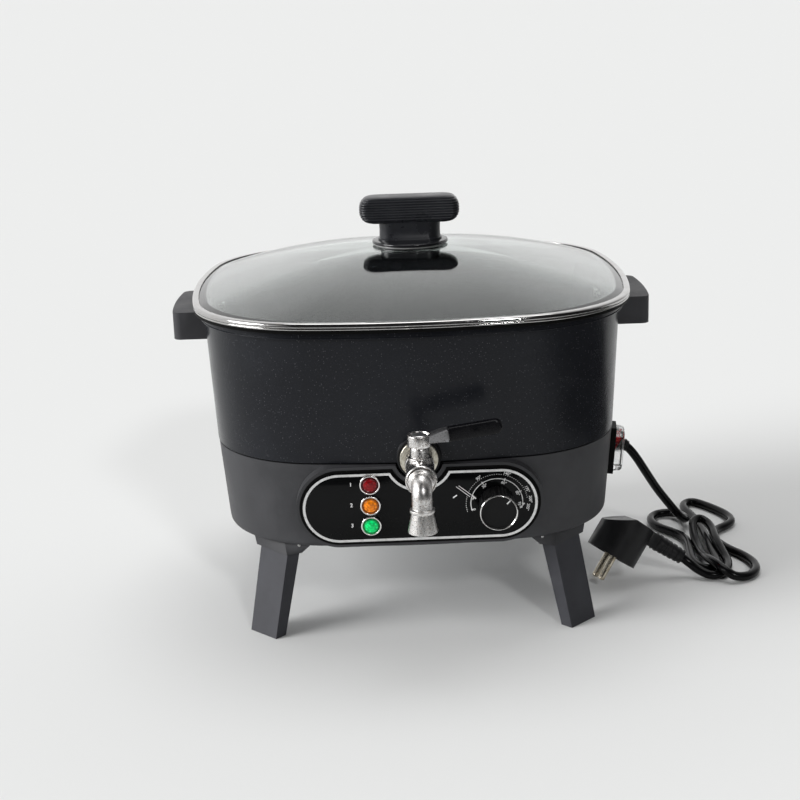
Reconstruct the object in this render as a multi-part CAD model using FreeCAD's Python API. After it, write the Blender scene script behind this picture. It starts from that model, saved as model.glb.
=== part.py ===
"""Candle wax melter: a heated square pot with a glass lid, a ball tap, a control panel and four legs.

All lengths are millimetres.  The model is laid out about the pot's upright axis, with the floor at z = 0,
the tap towards -Y and the switch towards +X.  Each node is then moved by ORIGIN_SHIFT, which puts the
origin in the middle of the footprint of the appliance without its lead.
"""
import FreeCAD, Part
import math
import os

V = FreeCAD.Vector
X = V(1, 0, 0)
Y = V(0, 1, 0)
Z = V(0, 0, 1)

# Outline of the rim seen from above: a rounded square of eight tangent arcs
RIM_X = 155.0
RIM_Y = 152.0
SIDE_R = 450.0
CORNER_R = 92.0
DRAFT_DEG = 4.7
DRAFT = math.tan(math.radians(DRAFT_DEG))

# Heights of the main joints above the floor
HOUSING_LOW = 62.0
SEAM = 123.0
COLLAR = 208.0
POT_TOP = 213.8
BAND_LOW = 215.3
BAND_HIGH = 219.8
DOME_LOW = 218.0
DOME_RISE = 27.5
DOME_POWER = 1.85
HANDLE_TOP = 281.0

# Insets from the rim outline
SEAM_INSET = 12.0
POT_TOP_INSET = 7.5
COLLAR_INSET = 5.8
SOCKET_INSET = 15.5
HOUSING_WALL = 2.5
POT_WALL = 3.0
POT_BOTTOM = 108.0
POT_EDGE_R = 14.0

# Tap
TAP_Z = 127.0
TAP_BOSS_Y = -141.0
BALL_Y = -172.0
SPOUT_Y = -200.0
SPOUT_END = 97.0
FLARE_R = 9.5

# Control panel, in its own frame: x right, y up along the wall, z out of the wall
PANEL_Y = -141.2
PANEL_Z = 95.2
PANEL_HALF_LENGTH = 78.3
PANEL_HALF_HEIGHT = 25.1
PANEL_DROP = 1.7
PANEL_MARGIN = 3.6
PLATE = 1.5
LAMP_X = -32.9
LAMP_HEIGHTS = (("top", "red", 15.3), ("middle", "amber", 0.5), ("bottom", "green", -14.2))
KNOB_X = 50.5
KNOB_Y = -0.6
KNOB_R = 12.65

# Right wall: rocker switch and cord gland
SWITCH_Y = -50.0
SWITCH_Z = 100.0
ROCKER_TILT = 12.0
ROCKER_PIVOT = 1.5
GLAND_Y = 5.0
GLAND_Z = 92.0
GLAND_DROOP = 25.0
GLAND_LENGTH = 22.0

# Mains lead
CORD_R = 3.1
ARC_SHARE = 0.45
CORD_FALL = [(160.3, 5.2, 82.7), (168.2, 9.2, 73.4), (177.5, 17.0, 58.5), (188.5, 28.0, 40.5),
             (199.0, 37.5, 24.5), (207.5, 43.5, 14.5), (215.0, 47.5, 9.6)]
LOOP_LEFT = [(216.0, 60.0, 6.0), (207.0, 70.0, 4.6), (196.0, 71.0, 3.4), (189.0, 62.5, 3.4),
             (188.0, 50.5, 3.4), (192.0, 38.5, 3.4), (200.0, 28.0, 4.0), (209.0, 19.0, 5.0)]
LOOP_UPPER = [(221.0, 62.0, 6.0), (219.5, 78.0, 4.0), (221.0, 92.0, 3.4), (230.0, 97.0, 3.4),
              (238.5, 86.0, 3.4), (246.0, 73.0, 3.4), (252.0, 60.0, 3.4), (252.5, 47.0, 3.4),
              (244.0, 37.0, 4.0), (233.0, 31.0, 5.0)]
LOOP_LOWER = [(224.0, 14.0, 5.0), (229.0, 0.0, 4.0), (236.0, -14.0, 3.4), (244.0, -27.0, 3.4),
              (248.0, -42.0, 3.4), (246.0, -56.0, 3.4), (238.0, -67.0, 3.4), (227.0, -68.5, 3.4),
              (218.0, -60.0, 4.0)]
CORD_LEAD = [(191.2, -52.6, 14.8), (197.0, -53.5, 10.2), (203.0, -58.5, 6.0), (211.0, -63.0, 3.8),
             (219.5, -60.0, 3.8), (225.0, -49.5, 4.2), (227.5, -38.5, 4.6)]
LEAF = [(218.0, 62.0), (211.0, 45.0), (207.5, 20.0), (202.5, -8.0), (201.0, -32.0), (207.0, -52.0),
        (217.0, -57.0), (227.0, -48.0), (232.5, -20.0), (234.5, 10.0), (232.0, 40.0), (227.0, 60.0)]
LEAF_HEIGHT = 13.0
KNOT = V(221.0, 50.0, 0.0)
KNOT_R = 12.0
KNOT_HEIGHT = 19.0

# Right-angled plug: its face lies tilted on the floor, resting on a pin
PLUG_FACE = V(139.0, -56.0, 19.3)
PLUG_TURN = FreeCAD.Rotation(Z, 5.0) * FreeCAD.Rotation(X, -15.0) * FreeCAD.Rotation(Y, 34.0)
PLUG_R = 19.0
PIN_R = 2.4
PIN_LENGTH = 19.0
PIN_ROOT_R = 1.9
PIN_SPACING = 19.0
BOOT_AXIS = 25.4
BOOT_END = 46.0

ORIGIN_SHIFT = V(0, (FLARE_R - SPOUT_Y - RIM_Y) / 2, 0)


# ---- general shapes ----

def outline(z, inset, scale=1.0):
    """Closed wire of the rim outline at height z, moved inwards by inset and scaled about the axis."""
    side = V(RIM_X - SIDE_R, 0, 0)
    front = V(0, RIM_Y - SIDE_R, 0)
    half = (front - side) * 0.5
    reach = math.sqrt((SIDE_R - CORNER_R) ** 2 - half.Length ** 2)
    corner = side + half + V(-half.y, half.x, 0) * (reach / half.Length)
    bend = CORNER_R - inset
    first = corner + (corner - side).normalize() * bend
    last = corner + (corner - front).normalize() * bend
    middle = corner + ((corner - side).normalize() + (corner - front).normalize()).normalize() * bend
    on_x = V(RIM_X - inset, 0, 0)
    on_y = V(0, RIM_Y - inset, 0)

    def turned(point, sx, sy):
        return V(point.x * sx * scale, point.y * sy * scale, z)

    arcs = [
        (turned(first, 1, -1), turned(on_x, 1, 1), turned(first, 1, 1)),
        (turned(first, 1, 1), turned(middle, 1, 1), turned(last, 1, 1)),
        (turned(last, 1, 1), turned(on_y, 1, 1), turned(last, -1, 1)),
        (turned(last, -1, 1), turned(middle, -1, 1), turned(first, -1, 1)),
        (turned(first, -1, 1), turned(on_x, -1, 1), turned(first, -1, -1)),
        (turned(first, -1, -1), turned(middle, -1, -1), turned(last, -1, -1)),
        (turned(last, -1, -1), turned(on_y, 1, -1), turned(last, 1, -1)),
        (turned(last, 1, -1), turned(middle, 1, -1), turned(first, 1, -1)),
    ]
    return Part.Wire([Part.Arc(*arc).toShape() for arc in arcs])


def stack(levels):
    """Solid through sections of the rim outline, each level being (z, inset) or (z, inset, scale)."""
    return Part.makeLoft([outline(*level) for level in levels], True, True)


def ring(low, high, outer, inner):
    """Band of the rim outline between two heights and two insets."""
    return stack([(low, outer), (high, outer)]).cut(stack([(low - 1, inner), (high + 1, inner)]))


def round_bottom(z, wall_inset, radius, steps=5):
    """Levels of a quarter round that leads from a flat bottom at z to a wall at wall_inset."""
    angles = [math.pi / 2 * step / steps for step in range(steps + 1)]
    return [(z + radius * (1 - math.cos(t)), wall_inset + radius * (1 - math.sin(t))) for t in angles]


def housing_inset(z):
    """Inset of the housing's outer wall, which leans in below the seam."""
    return SEAM_INSET + (SEAM - z) * DRAFT


def rod(start, direction, radius, length):
    """Round bar from a start point along a direction."""
    return Part.makeCylinder(radius, length, start, direction)


def tube(start, direction, outer, inner, length):
    """Round bar with a through hole."""
    return rod(start, direction, outer, length).cut(rod(start, direction, inner, length))


def block(low, high):
    """Box between two opposite corners."""
    size = high - low
    return Part.makeBox(size.x, size.y, size.z, low)


def prism(points, direction):
    """Polygon swept along a vector."""
    return Part.Face(Part.makePolygon(points + [points[0]])).extrude(direction)


def racetrack(half_length, half_height, low, high):
    """Flat plate with half-round ends, in the xy plane, between two z values."""
    straight = half_length - half_height
    plate = block(V(-straight, -half_height, low), V(straight, half_height, high))
    ends = [Part.makeCylinder(half_height, high - low, V(side * straight, 0, low)) for side in (-1, 1)]
    return plate.multiFuse(ends).removeSplitter()


def panel_shape(grow, low, high):
    """Outline of the fascia, larger by grow all round and set a little below the middle of its lamps."""
    shape = racetrack(PANEL_HALF_LENGTH + grow, PANEL_HALF_HEIGHT + grow, low, high)
    shape.translate(V(0, -PANEL_DROP, 0))
    return shape


def rounded_block(half_x, half_y, low, high, radius):
    """Box centred on the z axis with its upright edges rounded."""
    body = block(V(-half_x, -half_y, low), V(half_x, half_y, high))
    upright = [e for e in body.Edges if abs(e.Vertexes[0].Z - e.Vertexes[1].Z) > 0.01]
    return body.makeFillet(radius, upright)


def placed(shape, placement):
    """Copy of a shape built in a local frame, put at its placement."""
    moved = shape.copy()
    moved.Placement = placement.multiply(moved.Placement)
    return moved


def cord_tube(points):
    """Round cord along straight runs joined by tangent arcs, as large as the two runs allow."""
    route = [V(*point) for point in points]
    edges = []
    radii = []
    start = route[0]
    for before, corner, after in zip(route, route[1:], route[2:]):
        way_in = (corner - before).normalize()
        way_out = (after - corner).normalize()
        trim = ARC_SHARE * min((corner - before).Length, (after - corner).Length)
        half_turn = way_in.getAngle(way_out) / 2
        radius = trim / math.tan(half_turn)
        inward = (way_out - way_in).normalize()
        nearest = corner + inward * (radius / math.cos(half_turn) - radius)
        first = corner - way_in * trim
        last = corner + way_out * trim
        edges.append(Part.LineSegment(start, first).toShape())
        edges.append(Part.Arc(first, nearest, last).toShape())
        radii.append(round(radius, 1))
        start = last
    edges.append(Part.LineSegment(start, route[-1]).toShape())
    path = Part.Wire(edges)
    section = Part.Wire(Part.makeCircle(CORD_R, route[0], route[1] - route[0]))
    solid = path.makePipeShell([section], True, False)
    expected = math.pi * CORD_R ** 2 * path.Length
    print("cord run", round(path.Length, 1), "radii", radii, "volume share", round(solid.Volume / expected, 4))
    return solid


# ---- frames of the parts that sit on the walls ----

PANEL = FreeCAD.Placement(V(0, PANEL_Y, PANEL_Z), FreeCAD.Rotation(X, 90 + DRAFT_DEG))


def side_frame(y, z, droop=DRAFT_DEG):
    """Frame on the right wall: x to the rear, y up the wall, z outwards and down by droop degrees."""
    radius = SIDE_R - housing_inset(z)
    turn = math.asin(y / radius)
    origin = V(RIM_X - SIDE_R + radius * math.cos(turn), y, z)
    facing = FreeCAD.Rotation(Z, 90 + math.degrees(turn))
    return FreeCAD.Placement(origin, facing * FreeCAD.Rotation(X, 90 + droop))


SWITCH = side_frame(SWITCH_Y, SWITCH_Z)
GLAND = side_frame(GLAND_Y, GLAND_Z)
GLAND_CONE = side_frame(GLAND_Y, GLAND_Z, GLAND_DROOP)
PLUG = FreeCAD.Placement(PLUG_FACE, PLUG_TURN)
TAP_OUT = -Y


def tap_point(y):
    """Point on the tap's level axis."""
    return V(0, y, TAP_Z)


# ---- housing ----

PLATE_SCREWS = [V(0, 124, 0), V(0, -121, 0), V(127, 0, 0), V(-127, 0, 0)]


def base_housing():
    """Moulded shell with an inward bottom lip, a raised panel seat and its cut-outs."""
    wall = housing_inset(HOUSING_LOW + 4)
    outer = stack(round_bottom(HOUSING_LOW, wall, 4.0, 4) + [(SEAM - 1, housing_inset(SEAM - 1))])
    seat = panel_shape(PANEL_MARGIN, -9.0, 0.0)
    trimmed = placed(seat, PANEL).common(block(V(-160, -160, HOUSING_LOW), V(160, 0, SEAM - 1)))
    inner_low = HOUSING_LOW + HOUSING_WALL
    inner = stack([(inner_low, wall + HOUSING_WALL + 1), (inner_low + 2, wall + HOUSING_WALL),
                   (SEAM, housing_inset(SEAM) + HOUSING_WALL)])
    pocket = panel_shape(PANEL_MARGIN - 3.0, -24.0, -HOUSING_WALL)
    cuts = [inner, placed(pocket, PANEL),
            stack([(HOUSING_LOW - 1, 36.0), (inner_low + 1, 36.0)]),
            rod(tap_point(-150), Y, 16.3, 20),
            placed(rod(V(KNOB_X, KNOB_Y, -5), Z, 3.6, 10), PANEL),
            placed(block(V(-8.6, -12.8, -9), V(8.6, 12.8, 5)), SWITCH),
            placed(rod(V(0, 0, -6), Z, 6.2, 12), GLAND)]
    cuts += [placed(rod(V(LAMP_X, height, -5), Z, 4.9, 10), PANEL) for _, _, height in LAMP_HEIGHTS]
    cuts += [rod(V(p.x, p.y, HOUSING_LOW - 1), Z, 1.8, 6) for p in PLATE_SCREWS]
    return outer.fuse(trimmed).cut(cuts).removeSplitter()


def bottom_plate():
    """Sheet steel floor of the housing, vented, lying on the bottom lip."""
    low = HOUSING_LOW + HOUSING_WALL
    plate = stack([(low, 23.0), (low + 1.2, 23.0)])
    slots = [block(V(x, y, low - 1), V(x + 36, y + 5, low + 3))
             for x in (-58, 22) for y in (-60, -40, -20, 15, 35, 55)]
    holes = [rod(V(p.x, p.y, low - 1), Z, 1.8, 4) for p in PLATE_SCREWS]
    return plate.cut(slots + holes)


def base_screws():
    """Four pan head screws that hold the bottom plate to the lip."""
    screws = []
    for p in PLATE_SCREWS:
        head = rod(V(p.x, p.y, HOUSING_LOW - 1.8), Z, 3.4, 1.8)
        shank = rod(V(p.x, p.y, HOUSING_LOW), Z, 1.6, 6)
        screws.append(head.fuse(shank))
    return Part.makeCompound(screws)


# ---- legs ----

LEG_TOP = 55.0
TENON_TOP = 60.0
LEG_FOOT_SECTION = [V(-118.8, -120.6, 0), V(-100.6, -138.2, 0), V(-94.1, -131.8, 0), V(-112.3, -114.2, 0)]
LEG_TOP_SECTION = [V(-110.0, -102.0, LEG_TOP), V(-90.7, -122.5, LEG_TOP), V(-82.6, -117.0, LEG_TOP),
                   V(-101.9, -96.5, LEG_TOP)]
SOCKET_LOW_SECTION = [V(-113.0, -100.5, LEG_TOP), V(-91.0, -124.6, LEG_TOP), V(-81.0, -120.5, LEG_TOP),
                      V(-79.0, -113.0, LEG_TOP), V(-100.5, -92.0, LEG_TOP)]
SOCKET_HIGH_SECTION = [V(-114.6, -98.0, HOUSING_LOW), V(-92.5, -118.0, HOUSING_LOW),
                       V(-74.8, -125.0, HOUSING_LOW), V(-72.0, -109.0, HOUSING_LOW),
                       V(-98.0, -86.0, HOUSING_LOW)]
CORNERS = (("front_left", 1, 1), ("front_right", -1, 1), ("rear_left", 1, -1), ("rear_right", -1, -1))


def loft_through(sections):
    """Straight-sided solid through polygons with equal numbers of corners."""
    wires = [Part.makePolygon(points + [points[0]]) for points in sections]
    return Part.makeLoft(wires, True, True)


def mirrored(shape, sx, sy):
    """Shape of the front left corner carried to another corner."""
    if sx < 0:
        shape = shape.mirror(V(0, 0, 0), X)
    if sy < 0:
        shape = shape.mirror(V(0, 0, 0), Y)
    return shape


def tenon():
    """Stub on top of a leg that sits in its socket."""
    centre = sum(LEG_TOP_SECTION, V(0, 0, 0)) * 0.25
    section = [centre + (point - centre) * 0.75 for point in LEG_TOP_SECTION]
    return prism(section, Z * (TENON_TOP - LEG_TOP))


def leg():
    """Splayed plank leg of the front left corner."""
    return loft_through([LEG_FOOT_SECTION, LEG_TOP_SECTION]).fuse(tenon())


def leg_socket():
    """Bracket under the housing corner that takes the leg's stub."""
    return loft_through([SOCKET_LOW_SECTION, SOCKET_HIGH_SECTION]).cut(tenon())


# ---- pot and what hangs on it ----

HANDLE_HALF = 39.0
HANDLE_LOW = 187.5
HANDLE_HIGH = 207.0
HANDLE_REACH = 170.5
HANDLE_SCREW_Z = 197.0
HANDLE_SCREW_Y = 24.0


def pot_outside():
    """Outer form of the pot: the part sunk in the housing, the tapered wall and the collar."""
    sunk = stack(round_bottom(POT_BOTTOM, SOCKET_INSET, POT_EDGE_R) + [(SEAM, SOCKET_INSET)])
    wall = stack([(SEAM, SEAM_INSET), (COLLAR, POT_TOP_INSET)])
    collar = stack([(COLLAR, COLLAR_INSET + 0.8), (COLLAR + 0.8, COLLAR_INSET),
                    (POT_TOP - 0.8, COLLAR_INSET), (POT_TOP, COLLAR_INSET + 0.8)])
    return sunk.multiFuse([wall, collar])


def handle_screw_places():
    """Start points just inside the pot wall and outward directions of the four handle screws."""
    inner_x = RIM_X - 14.0
    return [(V(side * inner_x, y, HANDLE_SCREW_Z), X * side)
            for side in (-1, 1) for y in (-HANDLE_SCREW_Y, HANDLE_SCREW_Y)]


def wax_pot():
    """Die-cast pot with a rounded floor, a collar and a spot-faced boss for the tap."""
    floor = POT_BOTTOM + POT_WALL
    inside = stack(round_bottom(floor, SOCKET_INSET + POT_WALL, POT_EDGE_R - POT_WALL)
                   + [(SEAM + 3, SEAM_INSET + POT_WALL), (COLLAR, POT_TOP_INSET + POT_WALL + 0.2),
                      (POT_TOP + 1, POT_TOP_INSET + POT_WALL)])
    boss = rod(tap_point(TAP_BOSS_Y), Y, 15.0, 11.0)
    bore = rod(tap_point(TAP_BOSS_Y - 5), Y, 8.1, 25.0)
    holes = [rod(start - out * 5, out, 2.1, 20) for start, out in handle_screw_places()]
    return pot_outside().cut(inside).fuse(boss).cut([bore] + holes)


def pot_seal_ring():
    """Silicone ring in the seam, open where the tap boss passes."""
    return ring(SEAM - 1, SEAM, SEAM_INSET + 0.4, SOCKET_INSET).cut(rod(tap_point(-150), Y, 16.3, 20))


def side_handle(side):
    """Moulded ear under the collar, bowed a little on its outer edge."""
    bulge = Part.Arc(V(168.2, -HANDLE_HALF, 0), V(HANDLE_REACH, 0, 0), V(168.2, HANDLE_HALF, 0)).toShape()
    back = Part.makePolygon([V(168.2, HANDLE_HALF, 0), V(138, HANDLE_HALF, 0), V(138, -HANDLE_HALF, 0),
                             V(168.2, -HANDLE_HALF, 0)])
    plan = Part.Face(Part.Wire([bulge] + back.Edges))
    body = plan.extrude(Z * (HANDLE_HIGH - HANDLE_LOW))
    body.translate(Z * HANDLE_LOW)
    outer_corners = [e for e in body.Edges
                     if abs(e.Vertexes[0].Z - e.Vertexes[-1].Z) > 1 and e.Vertexes[0].X > 160]
    body = body.makeFillet(6.0, outer_corners)
    holes = [rod(V(138, y, HANDLE_SCREW_Z), X, 2.0, 20) for y in (-HANDLE_SCREW_Y, HANDLE_SCREW_Y)]
    body = body.cut([pot_outside()] + holes)
    return mirrored(body, side, 1)


def handle_screws():
    """Pan head screws through the pot wall into the side handles."""
    screws = []
    for start, out in handle_screw_places():
        head = rod(start - out * 2.4, out, 4.0, 2.4)
        shank = rod(start, out, 2.0, 15.0)
        screws.append(head.fuse(shank))
    return Part.makeCompound(screws)


# ---- heater and electrics ----

HEATER_R = 85.0
HEATER_ROD = 4.0
SHIELD_Z = 88.0


def heating_element():
    """Tubular heater bent to an open ring under the pot, with its two cold ends turned down."""
    ring_z = POT_BOTTOM - HEATER_ROD
    loop = Part.makeTorus(HEATER_R, HEATER_ROD, V(0, 0, ring_z), Z, 0, 360, 330)
    loop.rotate(V(0, 0, 0), Z, 105)
    ends = []
    for angle in (105, 75):
        t = math.radians(angle)
        ends.append(rod(V(HEATER_R * math.cos(t), HEATER_R * math.sin(t), ring_z - 10), Z, HEATER_ROD, 10))
        ends.append(Part.makeSphere(HEATER_ROD, V(HEATER_R * math.cos(t), HEATER_R * math.sin(t), ring_z)))
    return loop.multiFuse(ends)


def heat_shield():
    """Bright sheet pan below the heater."""
    return stack([(SHIELD_Z, 52.0), (SHIELD_Z + 1.0, 52.0)])


def shield_posts():
    """Four spacers that hang the shield from the pot."""
    return Part.makeCompound([rod(V(x, y, SHIELD_Z + 1.0), Z, 3.0, POT_BOTTOM - SHIELD_Z - 1.0)
                              for x in (-45, 45) for y in (-45, 45)])


def thermal_fuse():
    """One-shot cut-out held against the pot floor."""
    return rod(V(-12, 20, POT_BOTTOM - 4), X, 4.0, 24)


def thermostat_body():
    """Capillary thermostat behind the panel, with its bushing towards the knob."""
    can = block(V(KNOB_X - 13, KNOB_Y - 12, -18.0), V(KNOB_X + 13, KNOB_Y + 11, -HOUSING_WALL))
    return placed(can.cut(rod(V(KNOB_X, KNOB_Y, -14), Z, 3.3, 14)), PANEL)


def knob_shaft():
    """Thermostat spindle that carries the knob."""
    return placed(rod(V(KNOB_X, KNOB_Y, -12), Z, 3.0, 28), PANEL)


def terminal_block():
    """Mains terminal block on the bottom plate."""
    low = HOUSING_LOW + HOUSING_WALL + 1.2
    body = block(V(62, 18, low), V(92, 34, low + 13))
    wells = [rod(V(67 + 10 * i, 26, low + 6), Z, 3.0, 8) for i in range(3)]
    return body.cut(wells)


# ---- control panel ----

def panel_plate():
    """Glossy fascia with half-round ends, notched round the tap, with its lamp and spindle holes."""
    plate = panel_shape(0.0, 0.0, PLATE)
    holes = [rod(V(LAMP_X, height, -1), Z, 5.0, 4) for _, _, height in LAMP_HEIGHTS]
    holes.append(rod(V(KNOB_X, KNOB_Y, -1), Z, 3.6, 4))
    notch = rod(tap_point(-160), Y, 20.6, 30)
    return placed(plate.cut(holes), PANEL).cut(notch)


def lamp_bezel(height):
    """Turned ring round a lamp, standing on the fascia."""
    rim = tube(V(LAMP_X, height, PLATE), Z, 6.9, 5.5, 2.2)
    top_edges = [e for e in rim.Edges if abs(e.BoundBox.ZMin - PLATE - 2.2) < 0.01 and e.BoundBox.XLength > 13]
    return placed(rim.makeFillet(0.9, top_edges), PANEL)


def lamp_lens(height):
    """Coloured lens with a low dome and a body that passes through the fascia."""
    dome_r = 11.0
    base = PLATE + 2.0
    sphere = Part.makeSphere(dome_r, V(LAMP_X, height, base - dome_r + 1.5))
    cap = rod(V(LAMP_X, height, PLATE), Z, 5.5, 5.0).common(sphere)
    body = rod(V(LAMP_X, height, -6), Z, 4.8, PLATE + 6)
    return placed(cap.fuse(body), PANEL)


def knob():
    """Temperature knob with finger flutes round its side and a recessed front."""
    base = PLATE + 0.6
    body = rod(V(KNOB_X, KNOB_Y, base), Z, KNOB_R - 0.5, 18.6)
    flutes = []
    for step in range(24):
        t = math.radians(15 * step)
        at = V(KNOB_X + KNOB_R * math.cos(t), KNOB_Y + KNOB_R * math.sin(t), base + 2)
        flutes.append(rod(at, Z, 0.9, 14.5))
    face = rod(V(KNOB_X, KNOB_Y, base + 18.0), Z, KNOB_R - 1.8, 2)
    bore = rod(V(KNOB_X, KNOB_Y, base - 1), Z, 3.0, 16 - base + 1)
    return placed(body.cut(flutes + [face, bore]), PANEL)


def knob_ring():
    """Bright ring pressed on the front edge of the knob."""
    return placed(tube(V(KNOB_X, KNOB_Y, PLATE + 19.2), Z, KNOB_R, KNOB_R - 1.8, 1.6), PANEL)


# ---- tap ----

SHANK_END = -118.0
BODY_FRONT = -186.0
BODY_R = 9.5
BORE_R = 5.0
BONNET_TOP = 144.0
HUB_TOP = 152.0
HUB_R = 7.75
STEM_R = 3.0
GRIP_RISE = 8.0


def tap_washer_rubber():
    """Outer rubber washer between the pot boss and the steel washer."""
    return tube(tap_point(TAP_BOSS_Y), TAP_OUT, 14.5, 8.2, 3.0)


def tap_washer_steel():
    """Steel washer that the tap body bears on."""
    return tube(tap_point(TAP_BOSS_Y - 3), TAP_OUT, 12.6, 8.2, 3.0)


def tap_washer_inner():
    """Silicone washer under the nut inside the pot."""
    return tube(tap_point(-130.0), Y, 12.0, 8.2, 2.0)


def tap_nut():
    """Hexagon nut on the shank inside the pot."""
    corners = [V(12.6 * math.sin(math.radians(60 * i)), -128.0, TAP_Z + 12.6 * math.cos(math.radians(60 * i)))
               for i in range(6)]
    return prism(corners, Y * 7.0).cut(rod(tap_point(-140), Y, 8.0, 30))


def tap_body():
    """Turned and plated body: shank, barrel with the ball chamber, spigot and bonnet."""
    shank = rod(tap_point(SHANK_END), TAP_OUT, 8.0, 30.0)
    barrel = rod(tap_point(-147.0), TAP_OUT, BODY_R, -147.0 - BODY_FRONT)
    spigot = rod(tap_point(BODY_FRONT), TAP_OUT, 8.0, 3.0)
    bonnet = rod(V(0, BALL_Y, TAP_Z), Z, 6.15, BONNET_TOP - TAP_Z)
    way = rod(tap_point(SHANK_END + 1), TAP_OUT, BORE_R, 80.0)
    chamber = rod(tap_point(BALL_Y + 8.5), TAP_OUT, 7.3, 17.0)
    stem_hole = rod(V(0, BALL_Y, TAP_Z), Z, STEM_R + 0.05, 30.0)
    return barrel.multiFuse([shank, spigot, bonnet]).cut([way, chamber, stem_hole])


def tap_seats():
    """Two seat rings that the ball turns in."""
    near = tube(tap_point(BALL_Y + 8.5), TAP_OUT, 7.3, BORE_R, 2.9)
    far = tube(tap_point(BALL_Y - 5.6), TAP_OUT, 7.3, BORE_R, 2.9)
    ball = Part.makeSphere(7.3, tap_point(BALL_Y))
    return Part.makeCompound([near.cut(ball), far.cut(ball)])


def tap_ball():
    """Bored ball, shown closed, with its bore across the flow."""
    ball = Part.makeSphere(7.0, tap_point(BALL_Y))
    top = block(V(-8, BALL_Y - 8, TAP_Z + 6.2), V(8, BALL_Y + 8, TAP_Z + 9))
    return ball.cut([rod(V(-9, BALL_Y, TAP_Z), X, 4.6, 18), top])


def tap_stem():
    """Stem from the ball through the bonnet into the lever hub."""
    return rod(V(0, BALL_Y, TAP_Z + 6.2), Z, STEM_R, HUB_TOP - 2.0 - TAP_Z - 6.2)


def grip_frame():
    """Frame of the rising end of the lever: x along it, z square to it."""
    return FreeCAD.Placement(V(18, BALL_Y, 151.2), FreeCAD.Rotation(Y, -GRIP_RISE))


def lever_tang():
    """Flat end of the lever inside the vinyl grip."""
    return placed(block(V(-1, -1.2, -3.6), V(28, 1.2, 3.6)), grip_frame())


def tap_lever():
    """Cast lever: round hub with a dished top and a stub that rises into the tang."""
    hub = rod(V(0, BALL_Y, BONNET_TOP + 0.3), Z, HUB_R, HUB_TOP - BONNET_TOP - 0.3)
    side = [V(5, 0, 146.8), V(18.6, 0, 147.4), V(18.0, 0, 155.2), V(12.5, 0, 153.9), V(5, 0, 151.4)]
    stub = prism([V(p.x, BALL_Y - 4.7, p.z) for p in side], Y * 9.4)
    dish = rod(V(0, BALL_Y, HUB_TOP - 1.6), Z, 5.9, 3)
    hole = rod(V(0, BALL_Y, 140), Z, STEM_R, 20)
    return hub.multiFuse([stub, lever_tang()]).cut([dish, hole])


def tap_grip():
    """Dipped vinyl grip, a flat paddle on edge with a half-round end."""
    length = 35.0
    half = 4.7
    flat = block(V(0.7, -3.3, -half), V(length - half, 3.3, half))
    end = rod(V(length - half, -3.3, 0), Y, half, 6.6)
    body = flat.fuse(end).removeSplitter()
    rims = [e for e in body.Edges if e.BoundBox.YLength < 0.01 and e.BoundBox.XMax > 1]
    body = body.makeFillet(1.6, rims)
    return placed(body, grip_frame()).cut(lever_tang())


def tap_cap_screw():
    """Slotted screw in the dish of the hub."""
    head = rod(V(0, BALL_Y, HUB_TOP - 1.6), Z, 4.4, 1.5)
    slot = block(V(-5, BALL_Y - 0.5, HUB_TOP - 0.7), V(5, BALL_Y + 0.5, HUB_TOP + 1))
    return head.cut([slot, rod(V(0, BALL_Y, 140), Z, STEM_R, HUB_TOP - 2.0 - 140)])


def tap_spout_nut():
    """Union nut with a fine rounded rim."""
    nut = tube(tap_point(BODY_FRONT), TAP_OUT, 10.0, 8.0, 6.0)
    rims = [e for e in nut.Edges if e.BoundBox.XLength > 19]
    return nut.makeFillet(1.2, rims)


def tap_spout():
    """Swan-necked spout: spigot, collar, quarter bend, drop tube with a bead, and flared mouth."""
    bend_r = 8.0
    bend_y = SPOUT_Y + bend_r
    drop_top = TAP_Z - bend_r
    bead_z = 111.0

    def bent(radius):
        """Quarter bend of round section from the level axis down to the drop."""
        section = Part.Face(Part.Wire(Part.makeCircle(radius, tap_point(bend_y), Y)))
        return section.revolve(V(0, bend_y, drop_top), X, 90)

    spigot = rod(tap_point(BODY_FRONT - 3.0), TAP_OUT, 8.0, 3.0)
    collar = rod(tap_point(bend_y), TAP_OUT, 9.2, 3.0)
    drop = rod(V(0, SPOUT_Y, bead_z), Z, 6.4, drop_top - bead_z)
    bead = rod(V(0, SPOUT_Y, bead_z - 1), Z, 7.9, 1.8)
    flare = Part.makeCone(FLARE_R, 6.9, bead_z - SPOUT_END, V(0, SPOUT_Y, SPOUT_END), Z)
    outside = bent(6.4).multiFuse([spigot, collar, drop, bead, flare])
    way = rod(tap_point(BODY_FRONT - 2.0), TAP_OUT, 4.8, BODY_FRONT - 2.0 - bend_y)
    mouth = Part.makeCone(8.3, 4.8, 12.0, V(0, SPOUT_Y, SPOUT_END), Z)
    fall = rod(V(0, SPOUT_Y, SPOUT_END + 11), Z, 4.8, drop_top - SPOUT_END - 11)
    return outside.cut(bent(4.8).multiFuse([way, mouth, fall]))


# ---- switch and cord entry ----

def switch_body():
    """Snap-in switch frame and case with the well that the rocker tips in."""
    frame = rounded_block(11.0, 17.0, 0.0, 4.0, 2.0)
    shallow = block(V(-8.4, -12.6, -5.4), V(8.4, 12.6, 0))
    deep = block(V(-8.4, -12.6, -18), V(8.4, 4.0, 0))
    window = block(V(-6.7, -12.8, 0), V(6.7, 12.8, 5))
    well = block(V(-6.7, -11.6, -4.4), V(6.7, 11.6, 1))
    return placed(frame.multiFuse([shallow, deep]).cut([window, well]), SWITCH)


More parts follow.
